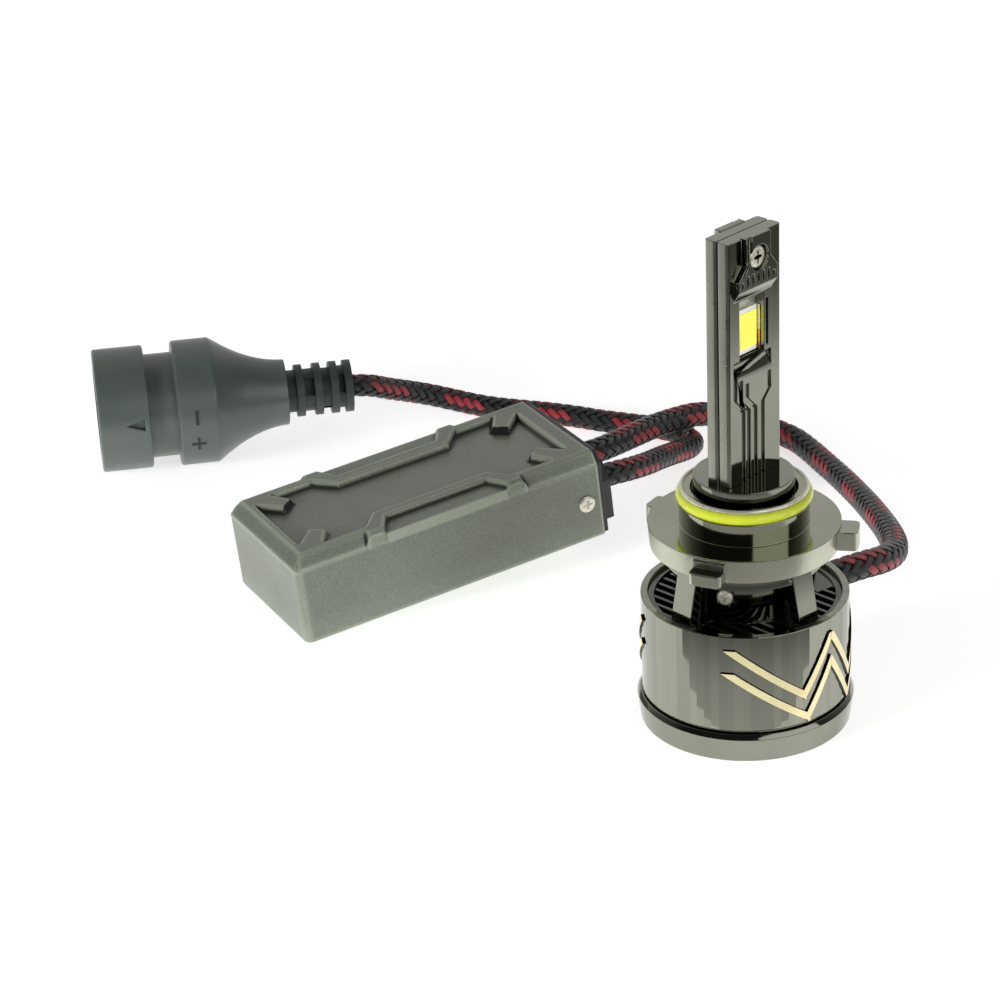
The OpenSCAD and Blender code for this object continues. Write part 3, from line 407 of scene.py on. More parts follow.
def soften(bm: bmesh.types.BMesh, width: float, degrees: float = 28.0, segments: int = 2,
           keep: Optional[EdgeTest] = None, clamp: bool = False) -> bmesh.types.BMesh:
    """Rounds a mesh's edges, and lays any vertex that strays back on the mesh.

    Args:
        bm: The mesh, in millimetres.
        width: The width of the rounding.
        degrees: The angle past which an edge is rounded.
        segments: The number of steps across the rounding.
        keep: A test that an edge also has to pass.
        clamp: Whether the rounding stops where it would meet another.

    Returns:
        The same mesh.
    """
    before = BVHTree.FromBMesh(bm)
    bmesh.ops.bevel(
        bm, geom=edges_past(bm, degrees, keep), offset=width, offset_type="OFFSET", affect="EDGES",
        segments=segments, profile=0.5, clamp_overlap=clamp, material=-1)
    for v in bm.verts:
        nearest, _, _, gap = before.find_nearest(v.co)
        if gap > width * STRAY_SHARE:
            v.co = nearest
    return bm


def cad_copy(node: str) -> bmesh.types.BMesh:
    """Copies a CAD node's mesh, merges its loose triangles and joins those that lie flat.

    Args:
        node: The CAD node.

    Returns:
        The copy, in millimetres.
    """
    bm = bmesh.new()
    bm.from_mesh(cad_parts[node].data)
    bmesh.ops.scale(bm, vec=(1 / MM,) * 3, verts=bm.verts)
    bmesh.ops.remove_doubles(bm, verts=bm.verts, dist=0.0008)
    bmesh.ops.dissolve_degenerate(bm, edges=bm.edges, dist=0.0005)
    bmesh.ops.dissolve_limit(
        bm, angle_limit=math.radians(0.7), use_dissolve_boundaries=False, verts=bm.verts, edges=bm.edges)
    return bm


def lathe(profile: Profile, steps: int) -> bmesh.types.BMesh:
    """Turns a closed profile round the Z axis.

    Args:
        profile: Points as (radius, height).
        steps: The number of steps round the axis.

    Returns:
        The mesh.
    """
    bm = bmesh.new()
    points = [bm.verts.new((r, 0, z)) for r, z in profile]
    lines = [bm.edges.new(pair) for pair in zip(points, [*points[1:], points[0]])]
    bmesh.ops.spin(
        bm, geom=points + lines, cent=(0, 0, 0), axis=(0, 0, 1), angle=TURN, steps=steps, use_merge=True,
        use_duplicate=False)
    bmesh.ops.remove_doubles(bm, verts=bm.verts, dist=0.0005)
    bmesh.ops.recalc_face_normals(bm, faces=bm.faces)
    return bm


def smooth(share: float) -> float:
    """Eases a share from 0 to 1."""
    t = max(0.0, min(1.0, share))
    return t * t * (3 - 2 * t)


def inside(point: Point, a: Point, b: Point) -> float:
    """Measures how far a point lies to the left of a line.

    Args:
        point: The point.
        a: Where the line starts.
        b: Where the line ends.

    Returns:
        The distance, negative on the right.
    """
    along, across = b[0] - a[0], b[1] - a[1]
    return (along * (point[1] - a[1]) - across * (point[0] - a[0])) / math.hypot(along, across)


def box(low: Sequence[float], high: Sequence[float]) -> bmesh.types.BMesh:
    """Makes a block.

    Args:
        low: Its lowest corner.
        high: Its highest corner.

    Returns:
        The mesh.
    """
    bm = bmesh.new()
    size = [b - a for a, b in zip(low, high)]
    middle = [(a + b) / 2 for a, b in zip(low, high)]
    bmesh.ops.create_cube(bm, size=1.0)
    bmesh.ops.scale(bm, vec=size, verts=bm.verts)
    bmesh.ops.translate(bm, vec=middle, verts=bm.verts)
    return bm


def add(into: bmesh.types.BMesh, part: bmesh.types.BMesh, place: Matrix) -> None:
    """Adds one mesh to another and frees it.

    Args:
        into: The mesh that grows.
        part: The mesh that is added.
        place: Where it goes.
    """
    bmesh.ops.transform(part, matrix=place, verts=part.verts)
    passing = bpy.data.meshes.new("passing")
    part.to_mesh(passing)
    part.free()
    into.from_mesh(passing)
    bpy.data.meshes.remove(passing)


@dataclass(frozen=True)
class Piece:
    """One visible piece: its name, what it is made of and what it rides on."""

    name: str
    finishes: Tuple[object, ...]
    slot: Slot
    replaces: Tuple[str, ...] = ()
    body: Body = Body.LAMP
    shading: Shading = Shading.MACHINED

    def build(self, bm: bmesh.types.BMesh, place: Matrix = Matrix.Identity(4)) -> bpy.types.Object:
        """Turns a mesh in millimetres into the finished piece.

        Args:
            bm: The mesh, which is freed.
            place: Where it goes, in millimetres.

        Returns:
            The piece.
        """
        bmesh.ops.transform(bm, matrix=Matrix.Scale(MM, 4) @ place, verts=bm.verts)
        mesh = bpy.data.meshes.new(self.name)
        bm.to_mesh(mesh)
        bm.free()
        mesh.polygons.foreach_set("use_smooth", [True] * len(mesh.polygons))
        mesh.set_sharp_from_angle(angle=math.radians(self.shading.value))
        for finish in self.finishes:
            mesh.materials.append(finish.material())
        piece = bpy.data.objects.new(self.name, mesh)
        bpy.context.scene.collection.objects.link(piece)
        if self.shading is Shading.MACHINED:
            evened = piece.modifiers.new("even_normals", "WEIGHTED_NORMAL")
            evened.keep_sharp = True
        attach(piece, self.body.value)
        if self.replaces:
            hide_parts(*self.replaces)
        mesh.calc_loop_triangles()
        log.info("%s: %d triangles on %s", self.name, len(mesh.loop_triangles), self.body.value)
        return piece


def dress(finish: Finish, *nodes: str) -> None:
    """Gives CAD nodes that stay in view their finish.

    Args:
        finish: The finish.
        nodes: The nodes.
    """
    for node in nodes:
        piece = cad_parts[node]
        if not piece.material_slots:
            piece.data.materials.append(finish.material())
        for held in piece.material_slots:
            held.material = finish.material()
        log.info("%s: CAD node in %s", node, finish.name)


def towards(axis: Sequence[float], at: Sequence[float]) -> Matrix:
    """Gives the placing that turns +Z to an axis and moves to a point.

    Args:
        axis: Where +Z goes.
        at: Where the origin goes.

    Returns:
        The placing.
    """
    return Matrix.Translation(Vector(at)) @ Vector(axis).to_track_quat("Z", "Y").to_matrix().to_4x4()


@dataclass
class CrossScrew:
    """A round head with a cross recess, on a plain shank."""

    head_r: float
    head_t: float
    recess_r: float
    recess_w: float
    shank_r: float
    shank_l: float
    dome: float = 0.25
    recess_t: float = 0.45
    sides: int = 48

    def mesh(self) -> bmesh.types.BMesh:
        """Builds the screw with its head's outer face at the origin, facing +Z.

        Returns:
            The mesh.
        """
        bm = bmesh.new()
        bmesh.ops.create_grid(bm, x_segments=3, y_segments=3, size=1.0)
        for v in bm.verts:
            for i in (0, 1):
                v.co[i] = math.copysign(self.recess_r if abs(v.co[i]) > 0.9 else self.recess_w / 2, v.co[i])
        corners = [f for f in bm.faces if min(abs(c) for c in f.calc_center_median()[:2]) > self.recess_w / 2]
        bmesh.ops.delete(bm, geom=corners, context="FACES")
        rim = [e for e in bm.edges if len(e.link_faces) == 1]
        cross = list(bm.faces)
        ring = bmesh.ops.create_circle(bm, radius=self.head_r * 0.72, segments=self.sides)["verts"]
        outer = list({e for v in ring for e in v.link_edges})
        bmesh.ops.bridge_loops(bm, edges=rim + outer)
        sunk = bmesh.ops.extrude_face_region(bm, geom=cross)["geom"]
        bmesh.ops.translate(
            bm, vec=(0, 0, -self.recess_t), verts=[g for g in sunk if isinstance(g, bmesh.types.BMVert)])
        bmesh.ops.delete(bm, geom=[f for f in cross if f.is_valid], context="FACES")
        for radius, height in (
            (self.head_r * 0.92, -self.dome * 0.45), (self.head_r, -self.dome), (self.head_r, -self.head_t),
            (self.shank_r, -self.head_t), (self.shank_r, -self.head_t - self.shank_l),
        ):
            grown = bmesh.ops.extrude_edge_only(bm, edges=outer)["geom"]
            outer = [g for g in grown if isinstance(g, bmesh.types.BMEdge)]
            for v in (g for g in grown if isinstance(g, bmesh.types.BMVert)):
                flat = Vector((v.co.x, v.co.y, 0)).normalized() * radius
                v.co = (flat.x, flat.y, height)
        bmesh.ops.contextual_create(bm, geom=outer)
        bmesh.ops.remove_doubles(bm, verts=bm.verts, dist=0.0005)
        bmesh.ops.recalc_face_normals(bm, faces=bm.faces)
        return soften(bm, 0.05, 40)


# ---------------------------------------------------------------- studio


@dataclass
class Studio:
    """Camera, floor, soft light and the cards that the bright metal mirrors."""

    camera_at: Tuple[float, float, float] = (-0.36810, -0.31057, 0.27336)
    right: Tuple[float, float, float] = (0.69327, -0.71965, -0.03868)
    up: Tuple[float, float, float] = (0.33725, 0.27652, 0.89991)
    back: Tuple[float, float, float] = (-0.6369, -0.6369, 0.4344)
    lens: float = 115.2
    sensor: float = 36.0
    floor_size: float = 6.0
    soft_sky: float = 0.26
    mirrored_sky: float = 0.66

    def camera(self) -> None:
        """Sets the camera."""
        data = bpy.data.cameras.new("view_camera")
        data.lens, data.sensor_width = self.lens, self.sensor
        data.clip_start, data.clip_end = 0.01, 20
        seen = bpy.data.objects.new("view_camera", data)
        turn = Matrix((self.right, self.up, self.back)).transposed().to_4x4()
        seen.matrix_world = Matrix.Translation(self.camera_at) @ turn
        bpy.context.scene.collection.objects.link(seen)
        bpy.context.scene.camera = seen

    def plate(self, name: str, size: Point, place: Matrix, material: bpy.types.Material) -> bpy.types.Object:
        """Makes a flat plate that belongs to the stage.

        Args:
            name: Its name.
            size: Its width and depth in metres.
            place: Where it goes, in metres.
            material: Its material.

        Returns:
            The plate.
        """
        bm = bmesh.new()
        bmesh.ops.create_grid(bm, x_segments=1, y_segments=1, size=0.5)
        bmesh.ops.scale(bm, vec=(*size, 1), verts=bm.verts)
        bmesh.ops.transform(bm, matrix=place, verts=bm.verts)
        mesh = bpy.data.meshes.new(name)
        bm.to_mesh(mesh)
        bm.free()
        mesh.materials.append(material)
        plate = bpy.data.objects.new(name, mesh)
        bpy.context.scene.collection.objects.link(plate)
        return plate

    def card(self, name: str, size: Point, place: Matrix, glow: float, fade: Profile = ()) -> None:
        """Makes a card that only mirrored light sees.

        Args:
            name: Its name.
            size: Its width and depth in metres.
            place: Where it goes.
            glow: How bright it is.
            fade: Its brightness by the distance from the lamp's axis, as (metres, share) stops.
        """
        tree = ShaderTree(name)
        tree.constant("Base Color", (0, 0, 0, 1))
        tree.constant("Roughness", 1.0)
        tree.constant("Specular IOR Level", 0.0)
        tree.constant("Emission Color", (1, 1, 1, 1))
        tree.constant("Emission Strength", glow)
        if fade:
            reach = fade[-1][0]
            length = tree.nodes.new("ShaderNodeVectorMath")
            length.operation = "LENGTH"
            tree.join(tree.coordinates(scale=(1 / reach,) * 3), length.inputs[0])
            ramp = tree.nodes.new("ShaderNodeValToRGB")
            stops = ramp.color_ramp.elements
            while len(stops) < len(fade):
                stops.new(0.5)
            for stop, (distance, share) in zip(stops, fade):
                stop.position = distance / reach
                stop.color = (share, share, share, 1)
            tree.join(length.outputs["Value"], ramp.inputs["Fac"])
            tree.join(ramp.outputs["Color"], tree.shader.inputs["Emission Color"])
        made = self.plate(name, size, place, tree.material)
        made.visible_camera = made.visible_diffuse = made.visible_shadow = made.visible_transmission = False

    def light(self, name: str, at: Tuple[float, float, float], size: float, watts: float) -> None:
        """Hangs a soft light that faces the lamp.

        Args:
            name: Its name.
            at: Its place.
            size: Its width.
            watts: Its power.
        """
        data = bpy.data.lights.new(name, "AREA")
        data.size, data.energy, data.shape = size, watts, "DISK"
        lamp = bpy.data.objects.new(name, data)
        aim = Vector(at) - Vector((0.03, 0.07, 0.02))
        lamp.matrix_world = Matrix.Translation(at) @ aim.to_track_quat("Z", "Y").to_matrix().to_4x4()
        lamp.visible_glossy = False
        bpy.context.scene.collection.objects.link(lamp)

    def sky(self) -> None:
        """Sets the sky: white where it is seen, soft for diffuse light, and bright on one side where it is mirrored."""
        world = bpy.data.worlds.new("soft_sky")
        world.use_nodes = True
        nodes, join = world.node_tree.nodes, world.node_tree.links.new
        nodes.clear()
        output = nodes.new("ShaderNodeOutputWorld")
        path = nodes.new("ShaderNodeLightPath")
        seen, soft, mirrored = (nodes.new("ShaderNodeBackground") for _ in range(3))
        seen.inputs["Strength"].default_value = 1.0
        soft.inputs["Strength"].default_value = self.soft_sky
        mirrored.inputs["Strength"].default_value = self.mirrored_sky
        for background in (seen, soft):
            background.inputs["Color"].default_value = (1, 1, 1, 1)
        where = nodes.new("ShaderNodeTexCoord")
        facing = nodes.new("ShaderNodeVectorMath")
        facing.operation = "DOT_PRODUCT"
        facing.inputs[1].default_value = (0.66, 0.66, 0.36)
        fade = nodes.new("ShaderNodeValToRGB")
        stops = fade.color_ramp.elements
        stops[0].position, stops[0].color = 0.0, (0.03, 0.03, 0.03, 1)
        stops[1].position, stops[1].color = 0.9, (1.0, 1.0, 1.0, 1)
        middle = stops.new(0.45)
        middle.color = (0.25, 0.25, 0.25, 1)
        join(where.outputs["Generated"], facing.inputs[0])
        join(facing.outputs["Value"], fade.inputs["Fac"])
        join(fade.outputs["Color"], mirrored.inputs["Color"])
        by_mirror, by_eye = nodes.new("ShaderNodeMixShader"), nodes.new("ShaderNodeMixShader")
        join(path.outputs["Is Glossy Ray"], by_mirror.inputs["Fac"])
        join(soft.outputs["Background"], by_mirror.inputs[1])
        join(mirrored.outputs["Background"], by_mirror.inputs[2])
        join(path.outputs["Is Camera Ray"], by_eye.inputs["Fac"])
        join(by_mirror.outputs["Shader"], by_eye.inputs[1])
        join(seen.outputs["Background"], by_eye.inputs[2])
        join(by_eye.outputs["Shader"], output.inputs["Surface"])
        bpy.context.scene.world = world

    def build(self) -> None:
        """Sets up the whole stage."""
        bpy.context.scene.view_settings.view_transform = "Standard"
        self.sky()
        self.camera()
        self.plate("pale_floor", (self.floor_size,) * 2, Matrix.Identity(4), PALE_FLOOR.material())
        self.light("key_light", (-1.3, 0.35, 0.30), 0.5, 15.0)
        self.light("fill_light", (-0.2, -1.3, 0.42), 0.7, 7.5)
        ahead = Matrix.Rotation(math.radians(222), 4, "Z")
        self.card("front_card", (0.6, 0.9), ahead @ Matrix.Translation((0.325, 0.0, 0.0004)), 1.0,
                  ((0.025, 0.76), (0.042, 0.62), (0.058, 0.3), (0.07, 0.1), (0.085, 0.5), (0.11, 0.4), (0.135, 0.05),
                   (0.8, 0.03)))
        aside = Matrix.Rotation(math.radians(-45), 4, "Z")
        self.card("side_card", (0.6, 0.16), aside @ Matrix.Translation((0.385, 0.0, 0.0006)), 1.0,
                  ((0.085, 0.9), (0.145, 1.0), (0.172, 0.5), (0.21, 0.12), (0.8, 0.03)))
        window = Matrix.Rotation(math.radians(269), 4, "Z") @ Matrix.Translation((1.0, 0, 0.62))
        self.card("window_card", (0.9, 1.35), window @ Matrix.Rotation(math.radians(90), 4, "Y"), 1.1)
        log.info("studio: camera, floor, two lights, three cards")


# ---------------------------------------------------------------- cables


@dataclass
class BraidedCable:
    """A cable in a two-over-two braid with a few coloured strands."""

    name: str
    node: str
    route: Sequence[Tuple[float, float, float]]
    diameter: float
    length: float
    exit_at: Tuple[float, float, float]
    far_end: str
    tracers: Tuple[int, ...] = (0, 1, 2, 3)
    strands: int = 8
    pitch: float = 20.5
    strand_w: float = 1.32
    strand_t: float = 0.34
    weave: float = 0.16
    station: float = 0.5
    span_steps: int = 10
    section: int = 8

    def centreline(self) -> list:
        """Runs a smooth curve through the route and divides it evenly.

        Returns:
            The points, in millimetres.
        """
        p = [Vector(q) for q in self.route]
        p = [p[0], *p, p[-1]]
        dense = []
        for a, b, c, d in zip(p, p[1:], p[2:], p[3:]):
            for i in range(self.span_steps):
                t = i / self.span_steps
                dense.append(0.5 * (2 * b + (c - a) * t + (2 * a - 5 * b + 4 * c - d) * t ** 2
                                    + (3 * b - a - 3 * c + d) * t ** 3))
        dense.append(p[-1])
        runs = [0.0]
        for a, b in zip(dense, dense[1:]):
            runs.append(runs[-1] + (b - a).length)
        count = round(runs[-1] / self.station)
        even, j = [], 0
        for i in range(count + 1):
            goal = runs[-1] * i / count
            while j < len(runs) - 2 and runs[j + 1] < goal:
                j += 1
            even.append(dense[j].lerp(dense[j + 1], (goal - runs[j]) / (runs[j + 1] - runs[j])))
        return even

    def frames(self, line: list) -> list:
        """Carries a pair of cross directions along the line without twist.

        Args:
            line: The centreline.

        Returns:
            For each point its direction and the two cross directions.
        """
        ways = [(line[min(i + 1, len(line) - 1)] - line[max(i - 1, 0)]).normalized() for i in range(len(line))]
        side = ways[0].cross(UP).normalized()
        made = []
        for before, way in zip([ways[0], *ways], ways):
            side = before.rotation_difference(way) @ side
            side = (side - way * side.dot(way)).normalized()
            made.append((way, side, way.cross(side)))
        return made

    def strand(self, bm: bmesh.types.BMesh, line: list, frames: list, index: int, hand: int) -> None:
        """Weaves one strand.

        Args:
            bm: The mesh that it goes into.
            line: The centreline.
            frames: The directions along it.
            index: The strand's number among those of its hand.
            hand: 1 for a right-hand strand and -1 for a left-hand one.
        """
        last = len(line) - 1
        middle_r = self.diameter / 2 - self.weave - self.strand_t / 2
        slope = TURN * middle_r / self.pitch
        made = bmesh.ops.create_grid(bm, x_segments=last, y_segments=self.section, size=1.0, calc_uvs=True)["verts"]
        for v in made:
            i = round((v.co.x + 1) / 2 * last)
            turn = TURN * (v.co.y + 1) / 2
            x = i * self.station / self.pitch
            angle = TURN * (index / self.strands + hand * x)
            parity = 2 * index + hand * 2 * self.strands * x - 0.5
            over = max(-1.0, min(1.0, 1.45 * math.cos(TURN * parity / 4))) * hand
            way, side, cross = frames[i]
            out = side * math.cos(angle) + cross * math.sin(angle)
            round_way = (cross * math.cos(angle) - side * math.sin(angle)) - way * (hand * slope)
            reach = middle_r + self.weave * over + self.strand_t / 2 * math.sin(turn)
            v.co = line[i] + out * reach + round_way.normalized() * (self.strand_w / 2 * math.cos(turn))
        faces = list({f for v in made for f in v.link_faces})
        for face in faces:
            face.material_index = 1 if hand > 0 and index in self.tracers else 0
        ends = [e for v in made for e in v.link_edges if len(e.link_faces) == 1]
        bmesh.ops.remove_doubles(bm, verts=list({v for e in ends for v in e.verts}), dist=0.001)

    def build(self) -> bpy.types.Object:
        """Builds the cable.

        Returns:
            The piece.
        """
        line = self.centreline()
        frames = self.frames(line)
        bm = bmesh.new()
        bm.loops.layers.uv.new("UVMap")
        for hand in (1, -1):
            for index in range(self.strands):
                self.strand(bm, line, frames, index, hand)
        last = len(line) - 1
        core = bmesh.ops.create_grid(bm, x_segments=last, y_segments=12, size=1.0, calc_uvs=True)["verts"]
        core_r = self.diameter / 2 - 2 * self.weave - self.strand_t * 0.7
        for v in core:
            i, turn = round((v.co.x + 1) / 2 * last), TURN * (v.co.y + 1) / 2
            v.co = line[i] + (frames[i][1] * math.cos(turn) + frames[i][2] * math.sin(turn)) * core_r
        for face in {f for v in core for f in v.link_faces}:
            face.material_index = 2
        bmesh.ops.remove_doubles(bm, verts=core, dist=0.001)
        bmesh.ops.holes_fill(bm, edges=[e for e in bm.edges if len(e.link_faces) == 1], sides=0)
        bmesh.ops.recalc_face_normals(bm, faces=bm.faces)
        piece = Piece(
            self.name, (BLACK_YARN, RED_YARN, CABLE_CORE), Slot.BRAID, (self.node,), shading=Shading.ROUND).build(bm)
        self.path = [tuple(p * MM) for p in line]
        return piece


LAMP_ROUTE = [
    (13.4, -2.6, 19.6), (20, -3.9, 19.6), (25.5, -4.7, 19.2), (31.5, -4.5, 17.9), (38, -2.2, 15.9),
    (43.4, 1.6, 14.4), (49, 7, 12.8), (55.2, 13.8, 10.9), (62, 21.8, 8.8), (69, 30.6, 6.6),
    (75.5, 39.5, 4.7), (81, 48, 3.3), (84.8, 54.5, 2.6), (87, 60, 2.5), (87.2, 65.4, 2.8),
    (86.2, 69.8, 3.6), (83.6, 73.2, 4.8), (79.8, 75.3, 6.2), (74.8, 76.2, 7.6), (69.2, 76.4, 8.5),
    (63, 75.9, 9.5), (56.5, 74.6, 10.6), (49.3, 73.1, 11.8), (42.5, 71.9, 12.9), (37, 72.1, 13.4),
    (31.6, 73.8, 13),
]
PLUG_ROUTE = [
    (28.6, 64.2, 13), (33.9, 62.5, 13.4), (40, 62.2, 12.5), (46.5, 63.7, 10.8), (53.3, 66.2, 8.8),
    (60, 68.8, 6.6), (64.4, 70.3, 5.2), (68.6, 71.9, 4), (71.9, 74.1, 3.1), (74, 77.3, 2.6),
    (74.8, 81, 2.4), (74.1, 84.8, 2.4), (72.7, 88.4, 2.4), (71.2, 92, 2.4), (69.4, 96.4, 2.4),
    (67.6, 101.8, 2.4), (65.3, 107.5, 2.4), (62.6, 113, 2.4), (60.2, 118.2, 2.4), (58, 122.6, 2.8),
    (55, 126, 4), (51.3, 128.4, 5.6), (46.8, 129.8, 7.5), (42, 130.3, 9.6), (37.6, 130.9, 11.6),
    (33.7, 132.6, 12.5), (29.5, 135.6, 12.65),
]


# ---------------------------------------------------------------- lamp


@dataclass
class Column:
    """The flat two-sided column with its light sources and clamping screw."""

    edge: float = 0.13
    foot_edge: float = 0.18
    side_from: float = 5.4
    screw_z: float = 84.2
    screw_face: float = 3.2
    plated_z: float = 70.6
    screw_head_r: float = 1.9

    def shells(self) -> None:
        """Builds the two shells and the round foot."""
        for node in ("column_front", "column_rear"):
            bm = soften(cad_copy(node), self.edge)
            for face in bm.faces:
                outer = abs(face.calc_center_median().x) > self.side_from
                face.material_index = 1 if outer and abs(face.normal.x) > 0.6 else 0
            Piece(f"{node}_shell", (DARK_CHROME, BRUSHED_SIDE), Slot.GUNMETAL, (node,)).build(bm)
        foot = soften(cad_copy("column_base"), self.foot_edge)
        Piece("column_foot", (DARK_CHROME,), Slot.GUNMETAL, ("column_base",)).build(foot)

    def lights(self) -> None:
        """Builds the two phosphor pads and dresses their boards and the core."""
        dress(CERAMIC, "led_board_front", "led_board_rear")
        core = cad_copy("copper_core")
        bmesh.ops.bisect_plane(
            core, geom=[*core.verts, *core.edges, *core.faces], plane_co=(0, 0, self.plated_z), plane_no=(0, 0, 1))
        for face in core.faces:
            face.material_index = 1 if face.calc_center_median().z > self.plated_z else 0
        Piece("core", (BARE_COPPER, BRIGHT_NICKEL), Slot.COPPER, ("copper_core",)).build(core)
        for side in ("front", "rear"):
            bm = soften(cad_copy(f"led_chip_{side}"), 0.08, 40)
            Piece(f"phosphor_{side}", (PHOSPHOR,), Slot.PHOSPHOR, (f"led_chip_{side}",)).build(bm)

    def screw(self) -> None:
        """Builds the clamping screw with a head on each face."""
        bm = bmesh.new()
        for side in (-1, 1):
            head = CrossScrew(self.screw_head_r, 1.2, 1.0, 0.42, 1.0, self.screw_face - 1.2, dome=0.2).mesh()
            add(bm, head, towards((0, side, 0), (0, side * self.screw_face, self.screw_z)))
        Piece("clamping_screw", (BRIGHT_NICKEL,), Slot.NICKEL, ("column_screw",)).build(bm)

    def build(self) -> None:
        """Builds the whole column."""
        self.shells()
        self.lights()
        self.screw()


@dataclass
class Cap:
    """The stem under the column and the collar that turns on it."""

    seal_r: float = 1.0
    seal_ring_r: float = 10.5
    seal_z: float = 41.5
    seal_sides: int = 24
    seal_steps: int = 128
    stem_screw_turn: float = -159.0
    stem_screw_z: float = 26.6
    stem_screw_at: float = 10.3
    tab_from: float = 17.6
    rim_from: float = 15.6
    lip_from: float = 42.55
    lip_in: float = 10.0
    lip_out: float = 10.5

    def stem(self) -> None:
        """Builds the stem, its screw and its wires."""
        Piece("stem", (DARK_CHROME,), Slot.GUNMETAL, ("heat_stem",)).build(soften(cad_copy("heat_stem"), 0.12))
        turn = math.radians(self.stem_screw_turn)
        out = (math.cos(turn), math.sin(turn), 0)
        screw = CrossScrew(1.35, 0.9, 0.75, 0.34, 0.75, 5.4, dome=0.22, recess_t=0.35).mesh()
        Piece("stem_set_screw", (BRIGHT_NICKEL,), Slot.NICKEL, ("stem_screw",)).build(
            screw, towards(out, (out[0] * self.stem_screw_at, out[1] * self.stem_screw_at, self.stem_screw_z)))
        dress(BLACK_MOULDING, "stem_wires")

    def collar(self) -> None:
        """Builds the turning collar with its seal ring."""
        def on_tab(edge: bmesh.types.BMEdge) -> bool:
            """Tells whether an edge is an upright outer corner of a tab."""
            low, high = (v.co for v in edge.verts)
            return abs(low.z - high.z) > 1.0 and min(low.xy.length, high.xy.length) > self.tab_from

        collar = soften(soften(cad_copy("mounting_collar"), 0.8, 40, 3, on_tab, clamp=True), 0.16)
        for face in collar.faces:
            middle = face.calc_center_median()
            rim = abs(face.normal.z) < 0.3 and middle.xy.length > self.rim_from
            lip = middle.z > self.lip_from and middle.xy.length > self.lip_in
            face.material_index = (2 if middle.xy.length > self.lip_out else 1) if lip else int(rim)
        finishes = (SATIN_CHROME, TURNED_RIM, BRIGHT_NICKEL)
        Piece("collar", finishes, Slot.GUNMETAL, ("mounting_collar",), Body.COLLAR).build(collar)
        round_seal = []
        for i in range(self.seal_sides):
            turn = TURN * i / self.seal_sides
            round_seal.append((
                self.seal_ring_r + self.seal_r * math.cos(turn), self.seal_z + self.seal_r * math.sin(turn)))
        ring = lathe(round_seal, self.seal_steps)
        Piece("seal", (SILICONE,), Slot.SEAL, ("seal_ring",), Body.COLLAR, Shading.ROUND).build(ring)
        dress(BRIGHT_NICKEL, "collar_grub_screw")

    def build(self) -> None:
        """Builds the whole cap."""
        self.stem()
        self.collar()


@dataclass
class FanBase:
    """The fan housing with its gold bands, grille, heat sink and fan."""

    gold_reach: float = 17.9

    def housing(self) -> None:
        """Builds the faceted housing, its base ring and the grille in its top."""
        rounded = cad_copy("fan_housing")
        levels = [pick(v.co.z for v in rounded.verts) for pick in (min, max)]

        def at_end(edge: bmesh.types.BMEdge) -> bool:
            """Tells whether an edge lies in the housing's top or bottom plane."""
            return any(all(abs(v.co.z - level) < 0.05 for v in edge.verts) for level in levels)

        soften(rounded, 0.12, 40, keep=at_end)
        Piece("housing", (PANEL_CHROME,), Slot.GUNMETAL, ("fan_housing",), shading=Shading.FACETED).build(rounded)
        Piece("foot_ring", (DARK_CHROME,), Slot.GUNMETAL, ("base_ring",)).build(soften(cad_copy("base_ring"), 0.12, 35))
        Piece("grille", (BLACK_CHROME,), Slot.GUNMETAL, ("top_grille",)).build(soften(cad_copy("top_grille"), 0.1))
        Piece("housing_bush", (RUBBER,), Slot.BLACK_RUBBER, ("housing_grommet",)).build(
            soften(cad_copy("housing_grommet"), 0.1, 40))

    def bands(self) -> None:
        """Builds the raised bands, gold on their faces and dark on their sides."""
        bm = cad_copy("gold_inlay")
        for face in bm.faces:
            middle = face.calc_center_median()
            flat = Vector((middle.x, middle.y, 0))
            gold = flat.length > self.gold_reach and face.normal.dot(flat.normalized()) > 0.8
            face.material_index = 0 if gold else 1
        Piece("gold_bands", (PALE_GOLD, BLACK_CHROME), Slot.GOLD, ("gold_inlay",)).build(bm)

    def fan(self) -> None:
        """Dresses the sink and the fan."""
        dress(FIN_ALUMINIUM, "heat_sink")
        dress(BLACK_MOULDING, "bottom_guard", "fan_frame", "fan_rotor")
        dress(BARE_COPPER, "fan_stator")
        dress(SOLDER_MASK, "fan_board")
        dress(SINTERED_BRONZE, "fan_bearing")
        dress(BRIGHT_NICKEL, "fan_shaft", "fan_magnet")

    def build(self) -> None:
        """Builds the whole base."""
        self.housing()
        self.bands()
        self.fan()


# ---------------------------------------------------------------- driver box and plug


